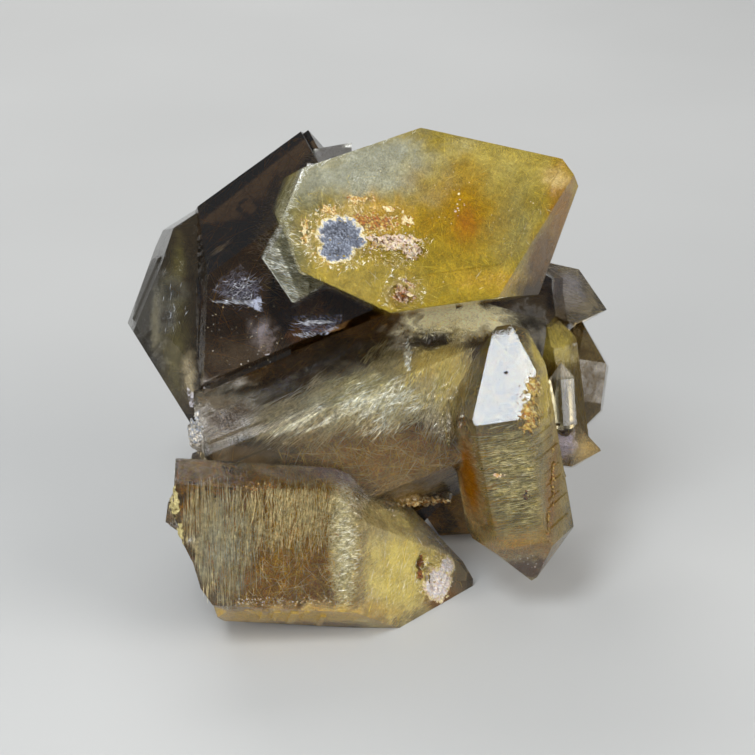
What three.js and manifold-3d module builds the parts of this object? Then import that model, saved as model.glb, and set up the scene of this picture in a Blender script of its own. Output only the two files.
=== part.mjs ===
// A rutilated smoky quartz cluster: large terminated crystals grown through one another.
// Millimetres, +Z up, origin at the middle of the base.
//
// Every crystal is described in the frame of the cluster's broad front, which leans back from upright:
// x runs to the right along the front, y runs up the front and z comes straight out of it.
// The crystals are joined into one solid, worn by pits and breaks, leant back and cut flat where it rests.

import * as THREE from "three";
import { ConvexGeometry } from "three/addons/geometries/ConvexGeometry.js";
import { mergeVertices } from "three/addons/utils/BufferGeometryUtils.js";
import Module from "manifold-3d";

const wasm = await Module();
wasm.setup();

// Driving dimensions, in millimetres and degrees
const LEAN = 25; // the broad front leans back from upright by this
const FLOOR = -49.5; // height of the resting plane before the cluster is set on Z = 0
const RHOMB = 51.8; // angle between a quartz crystal's long axis and the normal of a tip face
const FAR = 400; // beyond the cluster in every direction
const SLAB = 30; // thickness of the slabs that break crystals off
const CLOSE = 1e-3; // corners nearer to one another than this are one corner
const GOLDEN_ANGLE = 2.399963; // spreads directions evenly, radians

const rad = THREE.MathUtils.degToRad;

// A direction in the front's frame: heading turns from right towards up, rise comes out of the front.
function direction(heading, rise) {
  return new THREE.Vector3(
    Math.cos(rad(rise)) * Math.cos(rad(heading)),
    Math.cos(rad(rise)) * Math.sin(rad(heading)),
    Math.sin(rad(rise)),
  );
}

// Planes from a list of [heading, rise, distance]
function faces(list) {
  return list.map(([heading, rise, distance]) => ({ normal: direction(heading, rise), distance }));
}

// A repeatable sequence of numbers between 0 and 1
function sequence(seed) {
  let state = seed;
  return () => {
    state = (state * 16807) % 2147483647;
    return state / 2147483647;
  };
}

// An angular lump with flat facets: size holds its half-widths along x, y and z.
function lump({ at, size, seed, corners = 14 }) {
  const next = sequence(seed * 1013);
  const points = Array.from({ length: corners }, (_, index) => {
    const height = 1 - (2 * index + 1) / corners;
    const turn = GOLDEN_ANGLE * index + next();
    const across = Math.sqrt(1 - height * height);
    return new THREE.Vector3(across * Math.cos(turn), across * Math.sin(turn), height)
      .multiplyScalar(0.8 + 0.3 * next())
      .multiply(new THREE.Vector3(...size));
  });
  return new ConvexGeometry(points).translate(...at);
}

// Lumps strewn along the straight line between two points, each within about size of it
function strewn({ from, to, count, size, seed }) {
  const next = sequence(seed * 7919);
  const start = new THREE.Vector3(...from);
  const run = new THREE.Vector3(...to).sub(start);
  return Array.from({ length: count }, (_, index) => {
    const at = start.clone().addScaledVector(run, (index + 0.8 * next()) / count);
    const aside = size.map((reach) => 0.5 * reach * (next() - 0.5));
    const scale = 0.6 + 0.6 * next();
    return lump({
      at: [at.x + aside[0], at.y + aside[1], at.z + aside[2]],
      size: size.map((reach) => reach * scale),
      seed: seed + index,
      corners: 10,
    });
  });
}

// A square slab whose rough inner side, facing away from heading and rise, breaks a crystal off at the point
// at. The rough side is a grid of cells, its inner corners shoved about sideways and, by relief, in and out.
function breakage({ at, heading, rise, across, cells, relief, seed }) {
  const next = sequence(seed * 2711);
  const slab = new THREE.BoxGeometry(across, across, SLAB, cells, cells, 1);
  const corners = slab.getAttribute("position");
  const shoves = Array.from({ length: (cells + 1) ** 2 }, () => [next() - 0.5, next() - 0.5, next() - 0.5]);
  const sideways = (0.7 * across) / cells;
  for (let i = 0; i < corners.count; i++) {
    const column = Math.round((corners.getX(i) / across + 0.5) * cells);
    const row = Math.round((corners.getY(i) / across + 0.5) * cells);
    const onRim = column % cells === 0 || row % cells === 0;
    if (corners.getZ(i) > 0 || onRim) continue;
    const [aside, along, into] = shoves[row * (cells + 1) + column];
    corners.setX(i, corners.getX(i) + sideways * aside);
    corners.setY(i, corners.getY(i) + sideways * along);
    corners.setZ(i, corners.getZ(i) + 2 * relief * into);
  }
  const outward = direction(heading, rise);
  slab.translate(0, 0, SLAB / 2);
  slab.applyQuaternion(new THREE.Quaternion().setFromUnitVectors(new THREE.Vector3(0, 0, 1), outward));
  return slab.translate(...at);
}

// The convex solid inside planes, each { normal, distance } from the point at.
function solidInside(planes, at) {
  const corners = [];
  const corner = new THREE.Vector3();
  const matrix = new THREE.Matrix3();
  for (let i = 0; i < planes.length; i++)
    for (let j = i + 1; j < planes.length; j++)
      for (let k = j + 1; k < planes.length; k++) {
        const [a, b, c] = [planes[i], planes[j], planes[k]];
        matrix.set(...a.normal, ...b.normal, ...c.normal);
        if (Math.abs(matrix.determinant()) < 1e-4) continue;
        corner.set(a.distance, b.distance, c.distance).applyMatrix3(matrix.invert());
        const inside = planes.every((plane) => plane.normal.dot(corner) < plane.distance + CLOSE / 100);
        const known = corners.some((other) => other.distanceTo(corner) < CLOSE);
        if (inside && !known) corners.push(corner.clone());
      }
  return new ConvexGeometry(corners).translate(...at);
}

// A quartz crystal. Its long axis passes through at and points along heading and rise.
// prism holds the distances of its six side faces from that axis, starting with the one nearest the front
// and going round by the right hand; roll turns them all. tip and tail hold the heights at which the six
// faces of each end would meet the axis. Each break, [heading, rise, distance from at], cuts a buried or
// broken end. belt, when given, keeps only what lies between two heights along the axis.
function crystal({ at, heading, rise, roll = 0, prism, tip, tail, breaks = [], belt }) {
  const axis = direction(heading, rise);
  const front = new THREE.Vector3(0, 0, 1).addScaledVector(axis, -axis.z).normalize();
  const planes = [];
  for (let k = 0; k < 6; k++) {
    const side = front.clone().applyAxisAngle(axis, rad(roll + 60 * k));
    const slope = (sense) =>
      side.clone().multiplyScalar(Math.sin(rad(RHOMB))).addScaledVector(axis, sense * Math.cos(rad(RHOMB)));
    planes.push({ normal: side, distance: prism[k] });
    if (tip) planes.push({ normal: slope(1), distance: tip[k] * Math.cos(rad(RHOMB)) });
    if (tail) planes.push({ normal: slope(-1), distance: tail[k] * Math.cos(rad(RHOMB)) });
  }
  planes.push(...faces(breaks));
  if (belt) planes.push({ normal: axis, distance: belt[1] });
  if (belt) planes.push({ normal: axis.clone().negate(), distance: -belt[0] });
  return solidInside(planes, at);
}

// A stout crystal whose faces were crowded out of shape: each side is [heading, rise, distance from at].
function block({ at, sides }) {
  return solidInside(faces(sides), at);
}

// Upper crystal, golden with rutile, its broad flat face forward and its tip to the right
const upperCrystal = {
  at: [12, 34, 8],
  sides: [
    [90, 80, 16],
    [77, -8, 18],
    [35, 0, 31.5],
    [109, 4, 21.5],
    [-28, 25, 26.5],
    [-19, 0, 28],
    [-82, 0, 18.5],
    [245, 0, 22],
    [156, 12, 33],
    [200, 5, 32],
    [90, -62, 22],
    [-70, -40, 22],
    [20, -45, 27],
  ],
};

const upperShoulder = {
  at: [-16, 26, 8],
  sides: [
    [225, 60, 11],
    [152, 10, 9.5],
    [214, 0, 7.5],
    [-60, 0, 6.5],
    [100, 30, 16],
    [0, 0, 10],
    [0, 60, 7],
    [90, -90, 14],
  ],
};

// Long smoky crystal behind it, running down to the left
const smokyCrystal = {
  at: [-28, 20, -8],
  sides: [
    [126, -5, 24],
    [126, -50, 22],
    [180, 15, 14],
    [126, 50, 17],
    [-54, 75, 12],
    [-66, 10, 16],
    [-54, -40, 20],
    [36, 10, 30],
    [90, -85, 16],
    [232, -28, 34],
    [180, -50, 24],
  ],
};

const smokyEnd = {
  at: [-44, 12, -16],
  sides: [
    [123, 10, 22.5],
    [161, 15, 13],
    [180, 45, 12],
    [212, 5, 12.5],
    [215, 55, 13],
    [90, 85, 12],
    [0, 0, 24],
    [270, -20, 20],
    [90, -60, 16],
    [228, -30, 20],
    [150, -50, 17],
  ],
  rough: { at: [-44, -6, -24], heading: 262, rise: -20, across: 50, cells: 8, relief: 2, seed: 9 },
};

// Middle crystal, smoky with sprays of rutile
const middleCrystal = {
  at: [-16, -17, -8],
  heading: 22,
  rise: 0,
  roll: 10,
  prism: [20, 20, 20, 20, 20, 20],
  tip: [74, 74, 74, 74, 74, 74],
  breaks: [
    [193, 0, 24],
    [350, 0, 49],
  ],
  rough: { at: [-38.4, -21, -8], heading: 193, rise: 0, across: 46, cells: 8, relief: 1.6, seed: 6 },
};

// Lower left crystal, lying along the front with its tip to the right
const lowerCrystal = {
  at: [-24, -36, 10],
  heading: -4,
  rise: -9,
  roll: 8,
  prism: [12, 17.5, 16.5, 14.5, 13, 17.5],
  tip: [34, 63, 78, 66, 47, 34.5],
  breaks: [
    [204, 0, 18],
    [178, 5, 22],
  ],
  rough: { at: [-39, -42.5, 8], heading: 204, rise: 0, across: 52, cells: 9, relief: 2, seed: 4 },
};

// Right crystal, standing, with a tip at both ends
const rightCrystal = {
  at: [31.2, -25, 5],
  heading: 101.5,
  rise: 20,
  roll: -8,
  prism: [11.5, 11, 9.5, 12, 11.5, 10.2],
  tip: [35.5, 43, 52, 41, 37, 35],
  tail: [24, 25, 24, 24, 24, 24],
};

// Smoky crystal under the upper one's tip, and the small crystals crowding the right side
const smokyPoint = {
  at: [34, 18, -12],
  sides: [
    [60, 10, 9],
    [5, 15, 9],
    [-40, 15, 10],
    [-80, 10, 8],
    [60, 65, 12],
    [-40, 75, 11],
    [180, 0, 16],
    [90, -90, 14],
  ],
};

const highPoint = {
  at: [40, 20.5, -22],
  heading: -12,
  rise: -5,
  roll: 20,
  prism: [6.5, 6.5, 6.5, 6.5, 6.5, 6.5],
  tip: [17, 17, 20, 18, 15, 15],
  breaks: [[160, 5, 14]],
};

const ridgePoint = {
  at: [41, 1.5, -12],
  heading: 98,
  rise: 12,
  roll: 30,
  prism: [6.5, 6.5, 6, 7, 7, 6],
  tip: [15, 16, 20, 20, 18, 15],
  breaks: [[278, -12, 16]],
};

const outerPoint = {
  at: [47, -1.5, -20],
  heading: 82,
  rise: 0,
  roll: 20,
  prism: [8, 7.5, 6.5, 7, 7, 7],
  tip: [16, 15, 18, 18, 16, 15],
  tail: [14, 15, 16, 16, 16, 15],
};

const clearPoint = {
  at: [43, -5.5, -3],
  heading: 94,
  rise: 5,
  roll: 20,
  prism: [2.9, 2.9, 3, 3, 3, 2.9],
  tip: [9, 9, 10, 10, 9, 9],
  tail: [9, 9, 9, 9, 9, 9],
};

const lowPoint = {
  at: [42.8, -16, -7],
  heading: -8,
  rise: 8,
  roll: 25,
  prism: [4.8, 4.6, 5, 5, 5, 4.6],
  tip: [9, 9, 10, 10, 10, 9],
  breaks: [[172, 0, 10]],
};

// The mass that they all grew from
const root = {
  at: [0, -4, -22],
  sides: [
    [0, 0, 34],
    [50, 0, 30],
    [95, 0, 27],
    [140, 0, 32],
    [180, 0, 31],
    [215, 0, 31],
    [265, 0, 31],
    [270, -28, 31],
    [315, 0, 29],
    [90, 90, 9],
    [100, -72, 17],
    [262, -66, 23],
    [10, -55, 22],
    [185, -58, 22],
  ],
};

// Crystals of the back. girth is how far the side faces are from the axis and reach is how high the faces
// of the tip meet it, both uneven from face to face.
const backCrystals = [
  { at: [14, 20, -22], heading: 58, rise: -30, roll: 12, girth: 12.5, reach: 32, seed: 3 },
  { at: [-12, 14, -24], heading: 128, rise: -46, roll: 35, girth: 9.5, reach: 30, seed: 8 },
  { at: [-22, -4, -22], heading: 172, rise: -34, roll: 24, girth: 11, reach: 33, seed: 14 },
  { at: [20, -4, -26], heading: 6, rise: -38, roll: 8, girth: 10, reach: 30, seed: 20 },
  { at: [2, 3, -24], heading: 84, rise: -70, roll: 20, girth: 13, reach: 31, seed: 27 },
  { at: [-10, -16, -24], heading: 238, rise: -44, roll: 5, girth: 10.5, reach: 38, seed: 33 },
  { at: [14, -16, -22], heading: 304, rise: -40, roll: 40, girth: 10.5, reach: 40, seed: 45 },
  { at: [30, 12, -26], heading: 30, rise: -52, roll: 15, girth: 7, reach: 22, seed: 52 },
  { at: [-8, 28, -26], heading: 100, rise: -28, roll: 50, girth: 6.5, reach: 20, seed: 64 },
].map(({ at, heading, rise, roll, girth, reach, seed }) => {
  const next = sequence(seed * 4001);
  const uneven = (size, share) => Array.from({ length: 6 }, () => size * (1 - share / 2 + share * next()));
  const buried = [[heading + 180, -rise, girth]];
  return { at, heading, rise, roll, prism: uneven(girth, 0.2), tip: uneven(reach, 0.3), breaks: buried };
});

const quartzCrystals = [
  middleCrystal,
  lowerCrystal,
  rightCrystal,
  highPoint,
  ridgePoint,
  outerPoint,
  clearPoint,
  lowPoint,
  ...backCrystals,
];

const stoutCrystals = [upperCrystal, upperShoulder, smokyCrystal, smokyEnd, smokyPoint, root];

// A terrace: one side of a stout crystal raised by step, over an outline drawn in from the other sides
// and slid across by the vector slide.
function terrace(host, { side, step, inset, slide = [0, 0, 0] }) {
  const normal = direction(host.sides[side][0], host.sides[side][1]);
  const shift = new THREE.Vector3(...slide).projectOnPlane(normal);
  const sides = host.sides.map(([heading, rise, distance], index) =>
    [heading, rise, index === side ? distance + step : Math.max(distance - inset, 1)],
  );
  return block({ at: host.at, sides }).translate(...shift);
}

// A growth ledge: a belt of one side face of a crystal that stands proud of it by step, and that stops short
// of the face's two long edges by about the margins.
function ledge(host, { face, step, belt, margins = [0, 0] }) {
  const prism = host.prism.map((distance) => distance / 3);
  prism[face] = host.prism[face] + step;
  prism[(face + 1) % 6] = host.prism[(face + 1) % 6] - margins[0];
  prism[(face + 5) % 6] = host.prism[(face + 5) % 6] - margins[1];
  return crystal({ ...host, prism, belt });
}

// A flight of fine ledges, one after another along the axis, as the cross striations of a quartz prism
function striations(host, { face, step, from, to, count, seed }) {
  const next = sequence(seed);
  const pitch = (to - from) / count;
  return Array.from({ length: count }, (_, index) => {
    const start = from + pitch * (index + 0.3 * next());
    return ledge(host, {
      face,
      step: step * (0.5 + next()),
      belt: [start, start + pitch * (0.35 + 0.35 * next())],
      margins: [0.4 + 3 * next(), 0.4 + 3 * next()],
    });
  });
}

const ledges = [
  ...striations(lowerCrystal, { face: 0, step: 0.25, from: -12, to: -3, count: 5, seed: 11 }),
  ...striations(lowerCrystal, { face: 1, step: 0.3, from: -9, to: 14, count: 7, seed: 23 }),
  ...striations(rightCrystal, { face: 0, step: 0.2, from: -6, to: 19, count: 12, seed: 37 }),
  ...striations(rightCrystal, { face: 5, step: 0.25, from: -8, to: 18, count: 9, seed: 41 }),
  ...striations(rightCrystal, { face: 1, step: 0.25, from: -8, to: 20, count: 9, seed: 53 }),
  ...backCrystals.flatMap((host, index) =>
    [1, 3, 5].flatMap((face) =>
      striations(host, { face, step: 0.3, from: 2, to: 14, count: 4, seed: 61 + 9 * index + face }),
    ),
  ),
  terrace(upperCrystal, { side: 0, step: 0.35, inset: 6, slide: [5, 2, 0] }),
  terrace(upperCrystal, { side: 1, step: 0.5, inset: 5, slide: [-3, 0, -2] }),
  terrace(upperCrystal, { side: 5, step: 0.5, inset: 6, slide: [0, -2, 0] }),
  terrace(smokyCrystal, { side: 0, step: 0.6, inset: 4, slide: [4, 3, 0] }),
  terrace(smokyCrystal, { side: 1, step: 0.7, inset: 5, slide: [-3, -4, 0] }),
  terrace(smokyCrystal, { side: 2, step: 0.5, inset: 5, slide: [0, -3, -2] }),
  terrace(smokyEnd, { side: 1, step: 0.5, inset: 3, slide: [0, -2, 0] }),
  ledge(middleCrystal, { face: 5, step: 0.5, belt: [-20, 22], margins: [3, 9] }),
  ledge(middleCrystal, { face: 0, step: 0.6, belt: [-18, 12], margins: [8, 3] }),
];

// Knobs, crumbs and rusty grains grown on the crystals
const knobs = [
  lump({ at: [-42.5, -29, 18], size: [5.5, 6, 8], seed: 3 }),
  lump({ at: [-41, -13, -1], size: [3.6, 5, 6], seed: 5 }),
  lump({ at: [-40, -19, 12], size: [3, 3, 4], seed: 7 }),
  lump({ at: [16, -10, 12], size: [1.2, 7, 2.4], seed: 9 }),
  lump({ at: [-17, 21, 12], size: [4.5, 4, 5], seed: 12 }),
  ...strewn({ from: [33, -2, 21], to: [35.6, -11, 18.4], count: 6, size: [1.3, 1.3, 1], seed: 13 }),
  ...strewn({ from: [41.5, -22, 8], to: [39.6, -38, 7], count: 7, size: [1.5, 2, 1.6], seed: 17 }),
  ...strewn({ from: [2, -28, 3], to: [18, -27, -9], count: 6, size: [2.6, 2.6, 2.4], seed: 19 }),
  ...strewn({ from: [-32, -46, -4], to: [2, -46, -16], count: 7, size: [3, 3, 4], seed: 21 }),
  ...strewn({ from: [-30, 34, -22], to: [14, 38, -20], count: 6, size: [4, 3, 3], seed: 25 }),
];

// Pits, chips and broken ends
const hollows = [
  lump({ at: [-8.2, 30, 26], size: [6.2, 5.6, 3.2], seed: 31, corners: 20 }),
  lump({ at: [5.3, 17.6, 27.6], size: [3.6, 3.4, 3], seed: 33 }),
  lump({ at: [12, 9, 8.6], size: [5, 3, 4], seed: 35 }),
  lump({ at: [18.6, -8, 15.4], size: [1.7, 7, 4], seed: 37 }),
  lump({ at: [28.3, 1.2, 20.2], size: [0.7, 0.7, 0.6], seed: 39 }),
  ...strewn({ from: [-1, 29.5, 25.4], to: [9, 27, 25.8], count: 5, size: [2.6, 2.2, 1.6], seed: 41 }),
  ...strewn({ from: [9, -41, 4], to: [16, -50, -3], count: 6, size: [3, 3, 2.2], seed: 43 }),
  ...strewn({ from: [10, 8, 9], to: [4, 1, 14], count: 4, size: [0.8, 2, 1.6], seed: 57 }),
  ...strewn({ from: [28, -43, 8], to: [39, -41, 6], count: 4, size: [1.7, 1.7, 1.5], seed: 59 }),
  ...strewn({ from: [-24, 40, -24], to: [26, 44, -18], count: 6, size: [5, 3.5, 4], seed: 63 }),
  ...strewn({ from: [-50, -4, -30], to: [-30, -18, -34], count: 5, size: [4, 4, 3.5], seed: 67 }),
];

// A geometry as a manifold-3d solid
function manifold(geometry) {
  const bare = new THREE.BufferGeometry().setAttribute("position", geometry.getAttribute("position"));
  if (geometry.index) bare.setIndex(geometry.index);
  const merged = mergeVertices(bare, 1e-4);
  return new wasm.Manifold(
    new wasm.Mesh({
      numProp: 3,
      vertProperties: merged.getAttribute("position").array,
      triVerts: new Uint32Array(merged.index.array),
    }),
  );
}

function joined(solids) {
  return solids.reduce((whole, one) => whole.add(one));
}

// A crystal or a stout crystal, broken off where it has a rough end
function grown(shape, host) {
  const solid = manifold(shape(host));
  return host.rough ? solid.subtract(manifold(breakage(host.rough))) : solid;
}

function geometryOf(solid) {
  const mesh = solid.getMesh();
  return new THREE.BufferGeometry()
    .setAttribute("position", new THREE.BufferAttribute(mesh.vertProperties, 3))
    .setIndex(new THREE.BufferAttribute(mesh.triVerts, 1));
}

// Everything below the resting plane
const ground = new THREE.BoxGeometry(FAR, FAR, FAR);
ground.translate(0, 0, FLOOR - FAR / 2).rotateX(-rad(90 - LEAN));

const whole = joined([
  ...quartzCrystals.map((host) => grown(crystal, host)),
  ...stoutCrystals.map((host) => grown(block, host)),
  ...[...ledges, ...knobs].map(manifold),
]);
const worn = whole.subtract(joined(hollows.map(manifold))).subtract(manifold(ground));

// The outer surface alone, which fills any space that the crystals closed in between them
const [outer] = worn.decompose().sort((a, b) => b.volume() - a.volume());
const standing = geometryOf(outer).rotateX(rad(90 - LEAN));
standing.computeBoundingBox();
const middle = standing.boundingBox.getCenter(new THREE.Vector3());

const quartz = new THREE.MeshStandardMaterial({ color: 0x8a6a3a, roughness: 0.2, metalness: 0 });
const cluster = new THREE.Mesh(standing, quartz);
cluster.name = "quartz_cluster";
cluster.position.set(-middle.x, -middle.y, -FLOOR);

const part = new THREE.Group();
part.add(cluster);
export default part;
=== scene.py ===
"""The looks of a rutilated quartz cluster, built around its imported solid. Blender 4.5."""

import itertools
import math

import bmesh
import bpy
import numpy as np
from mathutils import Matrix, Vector
from mathutils.bvhtree import BVHTree


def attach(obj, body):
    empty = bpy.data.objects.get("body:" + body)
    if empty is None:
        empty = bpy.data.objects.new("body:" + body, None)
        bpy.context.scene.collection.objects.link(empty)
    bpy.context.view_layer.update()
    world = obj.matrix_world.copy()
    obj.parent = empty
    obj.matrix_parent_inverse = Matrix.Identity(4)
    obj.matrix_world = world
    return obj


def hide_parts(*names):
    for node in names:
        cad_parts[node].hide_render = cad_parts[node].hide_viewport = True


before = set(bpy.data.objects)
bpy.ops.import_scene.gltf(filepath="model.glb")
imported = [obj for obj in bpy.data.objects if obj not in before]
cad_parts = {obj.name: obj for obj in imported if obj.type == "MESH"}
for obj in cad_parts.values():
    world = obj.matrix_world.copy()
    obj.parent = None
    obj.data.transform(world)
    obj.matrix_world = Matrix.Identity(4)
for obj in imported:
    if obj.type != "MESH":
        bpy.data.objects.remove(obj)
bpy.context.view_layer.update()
scene = bpy.context.scene

# ---------------------------------------------------------------- the front's frame
# As in the part's source: x runs right along the broad front, y up it and z out of it, in millimetres.

MM = 0.001
LEAN = math.radians(25)
ORIGIN = np.array([2.465, -5.825, 49.5])
TILT = np.array([[1, 0, 0], [0, math.sin(LEAN), -math.cos(LEAN)], [0, math.cos(LEAN), math.sin(LEAN)]])
# The angle between quartz's long axis and the direction that a tip face looks in
RHOMB = math.radians(51.8)
TINY = 1e-12


def to_part(points):
    return MM * (np.asarray(points, float) @ TILT.T + ORIGIN)


def to_front(points):
    return (np.asarray(points, float) / MM - ORIGIN) @ TILT


def direction(heading, rise=0.0):
    a, b = math.radians(heading), math.radians(rise)
    return np.array([math.cos(b) * math.cos(a), math.cos(b) * math.sin(a), math.sin(b)])


def unit(vectors):
    return vectors / np.maximum(np.linalg.norm(vectors, axis=-1, keepdims=True), TINY)


def turned(vector, axis, angle):
    """vector turned about a unit axis, in radians."""
    c, s = math.cos(angle), math.sin(angle)
    return vector * c + np.cross(axis, vector) * s + axis * (axis @ vector) * (1 - c)


def srgb(r, g, b):
    """A colour named as it looks on a screen, 0 to 255, as linear light."""
    c = np.array([r, g, b], float) / 255
    return np.where(c <= 0.04045, c / 12.92, ((c + 0.055) / 1.055) ** 2.4)


def placed(name, data):
    """A new object of the scene, which shows this data."""
    made = bpy.data.objects.new(name, data)
    scene.collection.objects.link(made)
    return made


# ---------------------------------------------------------------- the crystals
# Planes as (normals, distances from the front's origin); a point is inside where normals @ p <= distances.


def sides_of(at, sides):
    """A crystal from its faces, each as (heading, rise, distance from the point at)."""
    normals = np.array([direction(heading, rise) for heading, rise, _ in sides])
    return normals, np.array([distance for *_, distance in sides]) + normals @ np.array(at, float)


def crystal(at, heading, rise, roll, prism, tip=None, tail=None, breaks=()):
    """A six-sided crystal: prism, tip and tail are its faces' distances, breaks are planes that end it."""
    axis = direction(heading, rise)
    front = unit(np.array([0, 0, 1.0]) - axis * axis[2])
    normals, distances = [], []
    for k in range(6):
        side = turned(front, axis, math.radians(roll + 60 * k))
        normals.append(side)
        distances.append(prism[k])
        for end, sense in ((tip, 1), (tail, -1)):
            if end:
                normals.append(side * math.sin(RHOMB) + axis * sense * math.cos(RHOMB))
                distances.append(end[k] * math.cos(RHOMB))
    for turn, lift, distance in breaks:
        normals.append(direction(turn, lift))
        distances.append(distance)
    normals = np.array(normals)
    return normals, np.array(distances) + normals @ np.array(at, float)


MULTIPLIER = 16807
MODULUS = 2147483647


def sequence(seed):
    """The same run of numbers between 0 and 1 that the part's source draws for a seed."""
    state = seed
    while True:
        state = state * MULTIPLIER % MODULUS
        yield state / MODULUS


SEED_STEP = 4001


def back_crystal(at, heading, rise, roll, girth, reach, seed):
    """A crystal of the back, whose faces lie a little off where an even crystal has them."""
    numbers = sequence(seed * SEED_STEP)
    prism = [girth * (0.9 + 0.2 * next(numbers)) for _ in range(6)]
    tip = [reach * (0.85 + 0.3 * next(numbers)) for _ in range(6)]
    return crystal(at, heading, rise, roll, prism, tip, breaks=[(heading + 180, -rise, girth)])


HOSTS = {
    "upper": sides_of(
        (12, 34, 8),
        [
            (90, 80, 16), (77, -8, 18), (35, 0, 31.5), (109, 4, 21.5), (-28, 25, 26.5), (-19, 0, 28),
            (-82, 0, 18.5), (245, 0, 22), (156, 12, 33), (200, 5, 32), (90, -62, 22), (-70, -40, 22),
            (20, -45, 27),
        ],
    ),
    "shoulder": sides_of(
        (-16, 26, 8),
        [
            (225, 60, 11), (152, 10, 9.5), (214, 0, 7.5), (-60, 0, 6.5), (100, 30, 16), (0, 0, 10),
            (0, 60, 7), (90, -90, 14),
        ],
    ),
    "smoky": sides_of(
        (-28, 20, -8),
        [
            (126, -5, 24), (126, -50, 22), (180, 15, 14), (126, 50, 17), (-54, 75, 12), (-66, 10, 16),
            (-54, -40, 20), (36, 10, 30), (90, -85, 16), (232, -28, 34), (180, -50, 24),
        ],
    ),
    "end": sides_of(
        (-44, 12, -16),
        [
            (123, 10, 22.5), (161, 15, 13), (180, 45, 12), (212, 5, 12.5), (215, 55, 13), (90, 85, 12),
            (0, 0, 24), (270, -20, 20), (90, -60, 16), (228, -30, 20), (150, -50, 17),
        ],
    ),
    "middle": crystal(
        (-16, -17, -8), 22, 0, 10, [20] * 6, [74] * 6, breaks=[(193, 0, 24), (350, 0, 49)]
    ),
    "lower": crystal(
        (-24, -36, 10), -4, -9, 8,
        [12, 17.5, 16.5, 14.5, 13, 17.5], [34, 63, 78, 66, 47, 34.5], breaks=[(204, 0, 18), (178, 5, 22)],
    ),
    "right": crystal(
        (31.2, -25, 5), 101.5, 20, -8,
        [11.5, 11, 9.5, 12, 11.5, 10.2], [35.5, 43, 52, 41, 37, 35], [24, 25, 24, 24, 24, 24],
    ),
    "point": sides_of(
        (34, 18, -12),
        [
            (60, 10, 9), (5, 15, 9), (-40, 15, 10), (-80, 10, 8), (60, 65, 12), (-40, 75, 11),
            (180, 0, 16), (90, -90, 14),
        ],
    ),
    "high": crystal((40, 20.5, -22), -12, -5, 20, [6.5] * 6, [17, 17, 20, 18, 15, 15], breaks=[(160, 5, 14)]),
    "ridge": crystal(
        (41, 1.5, -12), 98, 12, 30, [6.5, 6.5, 6, 7, 7, 6], [15, 16, 20, 20, 18, 15], breaks=[(278, -12, 16)]
    ),
    "outer": crystal(
        (47, -1.5, -20), 82, 0, 20, [8, 7.5, 6.5, 7, 7, 7], [16, 15, 18, 18, 16, 15], [14, 15, 16, 16, 16, 15]
    ),
    "clear": crystal((43, -5.5, -3), 94, 5, 20, [2.9, 2.9, 3, 3, 3, 2.9], [9, 9, 10, 10, 9, 9], [9] * 6),
    "low": crystal(
        (42.8, -16, -7), -8, 8, 25, [4.8, 4.6, 5, 5, 5, 4.6], [9, 9, 10, 10, 10, 9], breaks=[(172, 0, 10)]
    ),
    "root": sides_of(
        (0, -4, -22),
        [
            (0, 0, 34), (50, 0, 30), (95, 0, 27), (140, 0, 32), (180, 0, 31), (215, 0, 31), (265, 0, 31),
            (270, -28, 31), (315, 0, 29), (90, 90, 9), (100, -72, 17), (262, -66, 23), (10, -55, 22),
            (185, -58, 22),
        ],
    ),
    "back0": back_crystal((14, 20, -22), 58, -30, 12, 12.5, 32, 3),
    "back1": back_crystal((-12, 14, -24), 128, -46, 35, 9.5, 30, 8),
    "back2": back_crystal((-22, -4, -22), 172, -34, 24, 11, 33, 14),
    "back3": back_crystal((20, -4, -26), 6, -38, 8, 10, 30, 20),
    "back4": back_crystal((2, 3, -24), 84, -70, 20, 13, 31, 27),
    "back5": back_crystal((-10, -16, -24), 238, -44, 5, 10.5, 38, 33),
    "back6": back_crystal((14, -16, -22), 304, -40, 40, 10.5, 40, 45),
    "back7": back_crystal((30, 12, -26), 30, -52, 15, 7, 22, 52),
    "back8": back_crystal((-8, 28, -26), 100, -28, 50, 6.5, 20, 64),
}
NAMES = list(HOSTS)
BACK = tuple(name for name in NAMES if name.startswith("back"))

# The long axes of the crystals whose side faces are striated across
AXES = {"lower": direction(-4, -9), "right": direction(101.5, 20), "middle": direction(22, 0)}

# An uneven field's sine waves: how many, how fine, their length for a swell of 1, and what their sum reaches
WAVES = 7
FINENESS = (0.6, 1.8)
WAVE_LENGTH = 2.2
WAVE_REACH = 3.2


def wobble(points, size, seed):
    """A smooth uneven field, about -1 to 1, with swells about size millimetres across."""
    rng = np.random.default_rng(seed)
    ways = unit(rng.normal(size=(WAVES, 3)))
    waves = ways * rng.uniform(*FINENESS, (WAVES, 1)) * 2 * math.pi / (WAVE_LENGTH * size)
    return np.sin(points @ waves.T + rng.uniform(0, 6.3, WAVES)).sum(-1) / WAVE_REACH


def smooth(low, high, values):
    """0 at low, 1 at high, and an even slope with soft ends between."""
    t = np.clip((values - low) / (high - low), 0, 1)
    return t * t * (3 - 2 * t)


# ---------------------------------------------------------------- the camera

# Over the middle of the front, in its own frame
EYE = (0, 0, 480)
FRAME_PIXELS = 755
FOCAL_PIXELS = 2087
SENSOR = 36.0

camera_data = bpy.data.cameras.new("camera")
camera_data.sensor_width = SENSOR
camera_data.lens = SENSOR * FOCAL_PIXELS / FRAME_PIXELS
camera_data.clip_start = 0.01
camera_data.clip_end = 50
camera = placed("camera", camera_data)
camera.location = Vector(to_part(EYE))
camera.rotation_euler = (math.pi / 2 - LEAN, 0, 0)
scene.camera = camera

# ---------------------------------------------------------------- the quartz

# Points this near are one, and faces that turn by less than FLAT are one face
WELD = 0.002 * MM
FLAT = math.radians(0.4)


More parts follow.
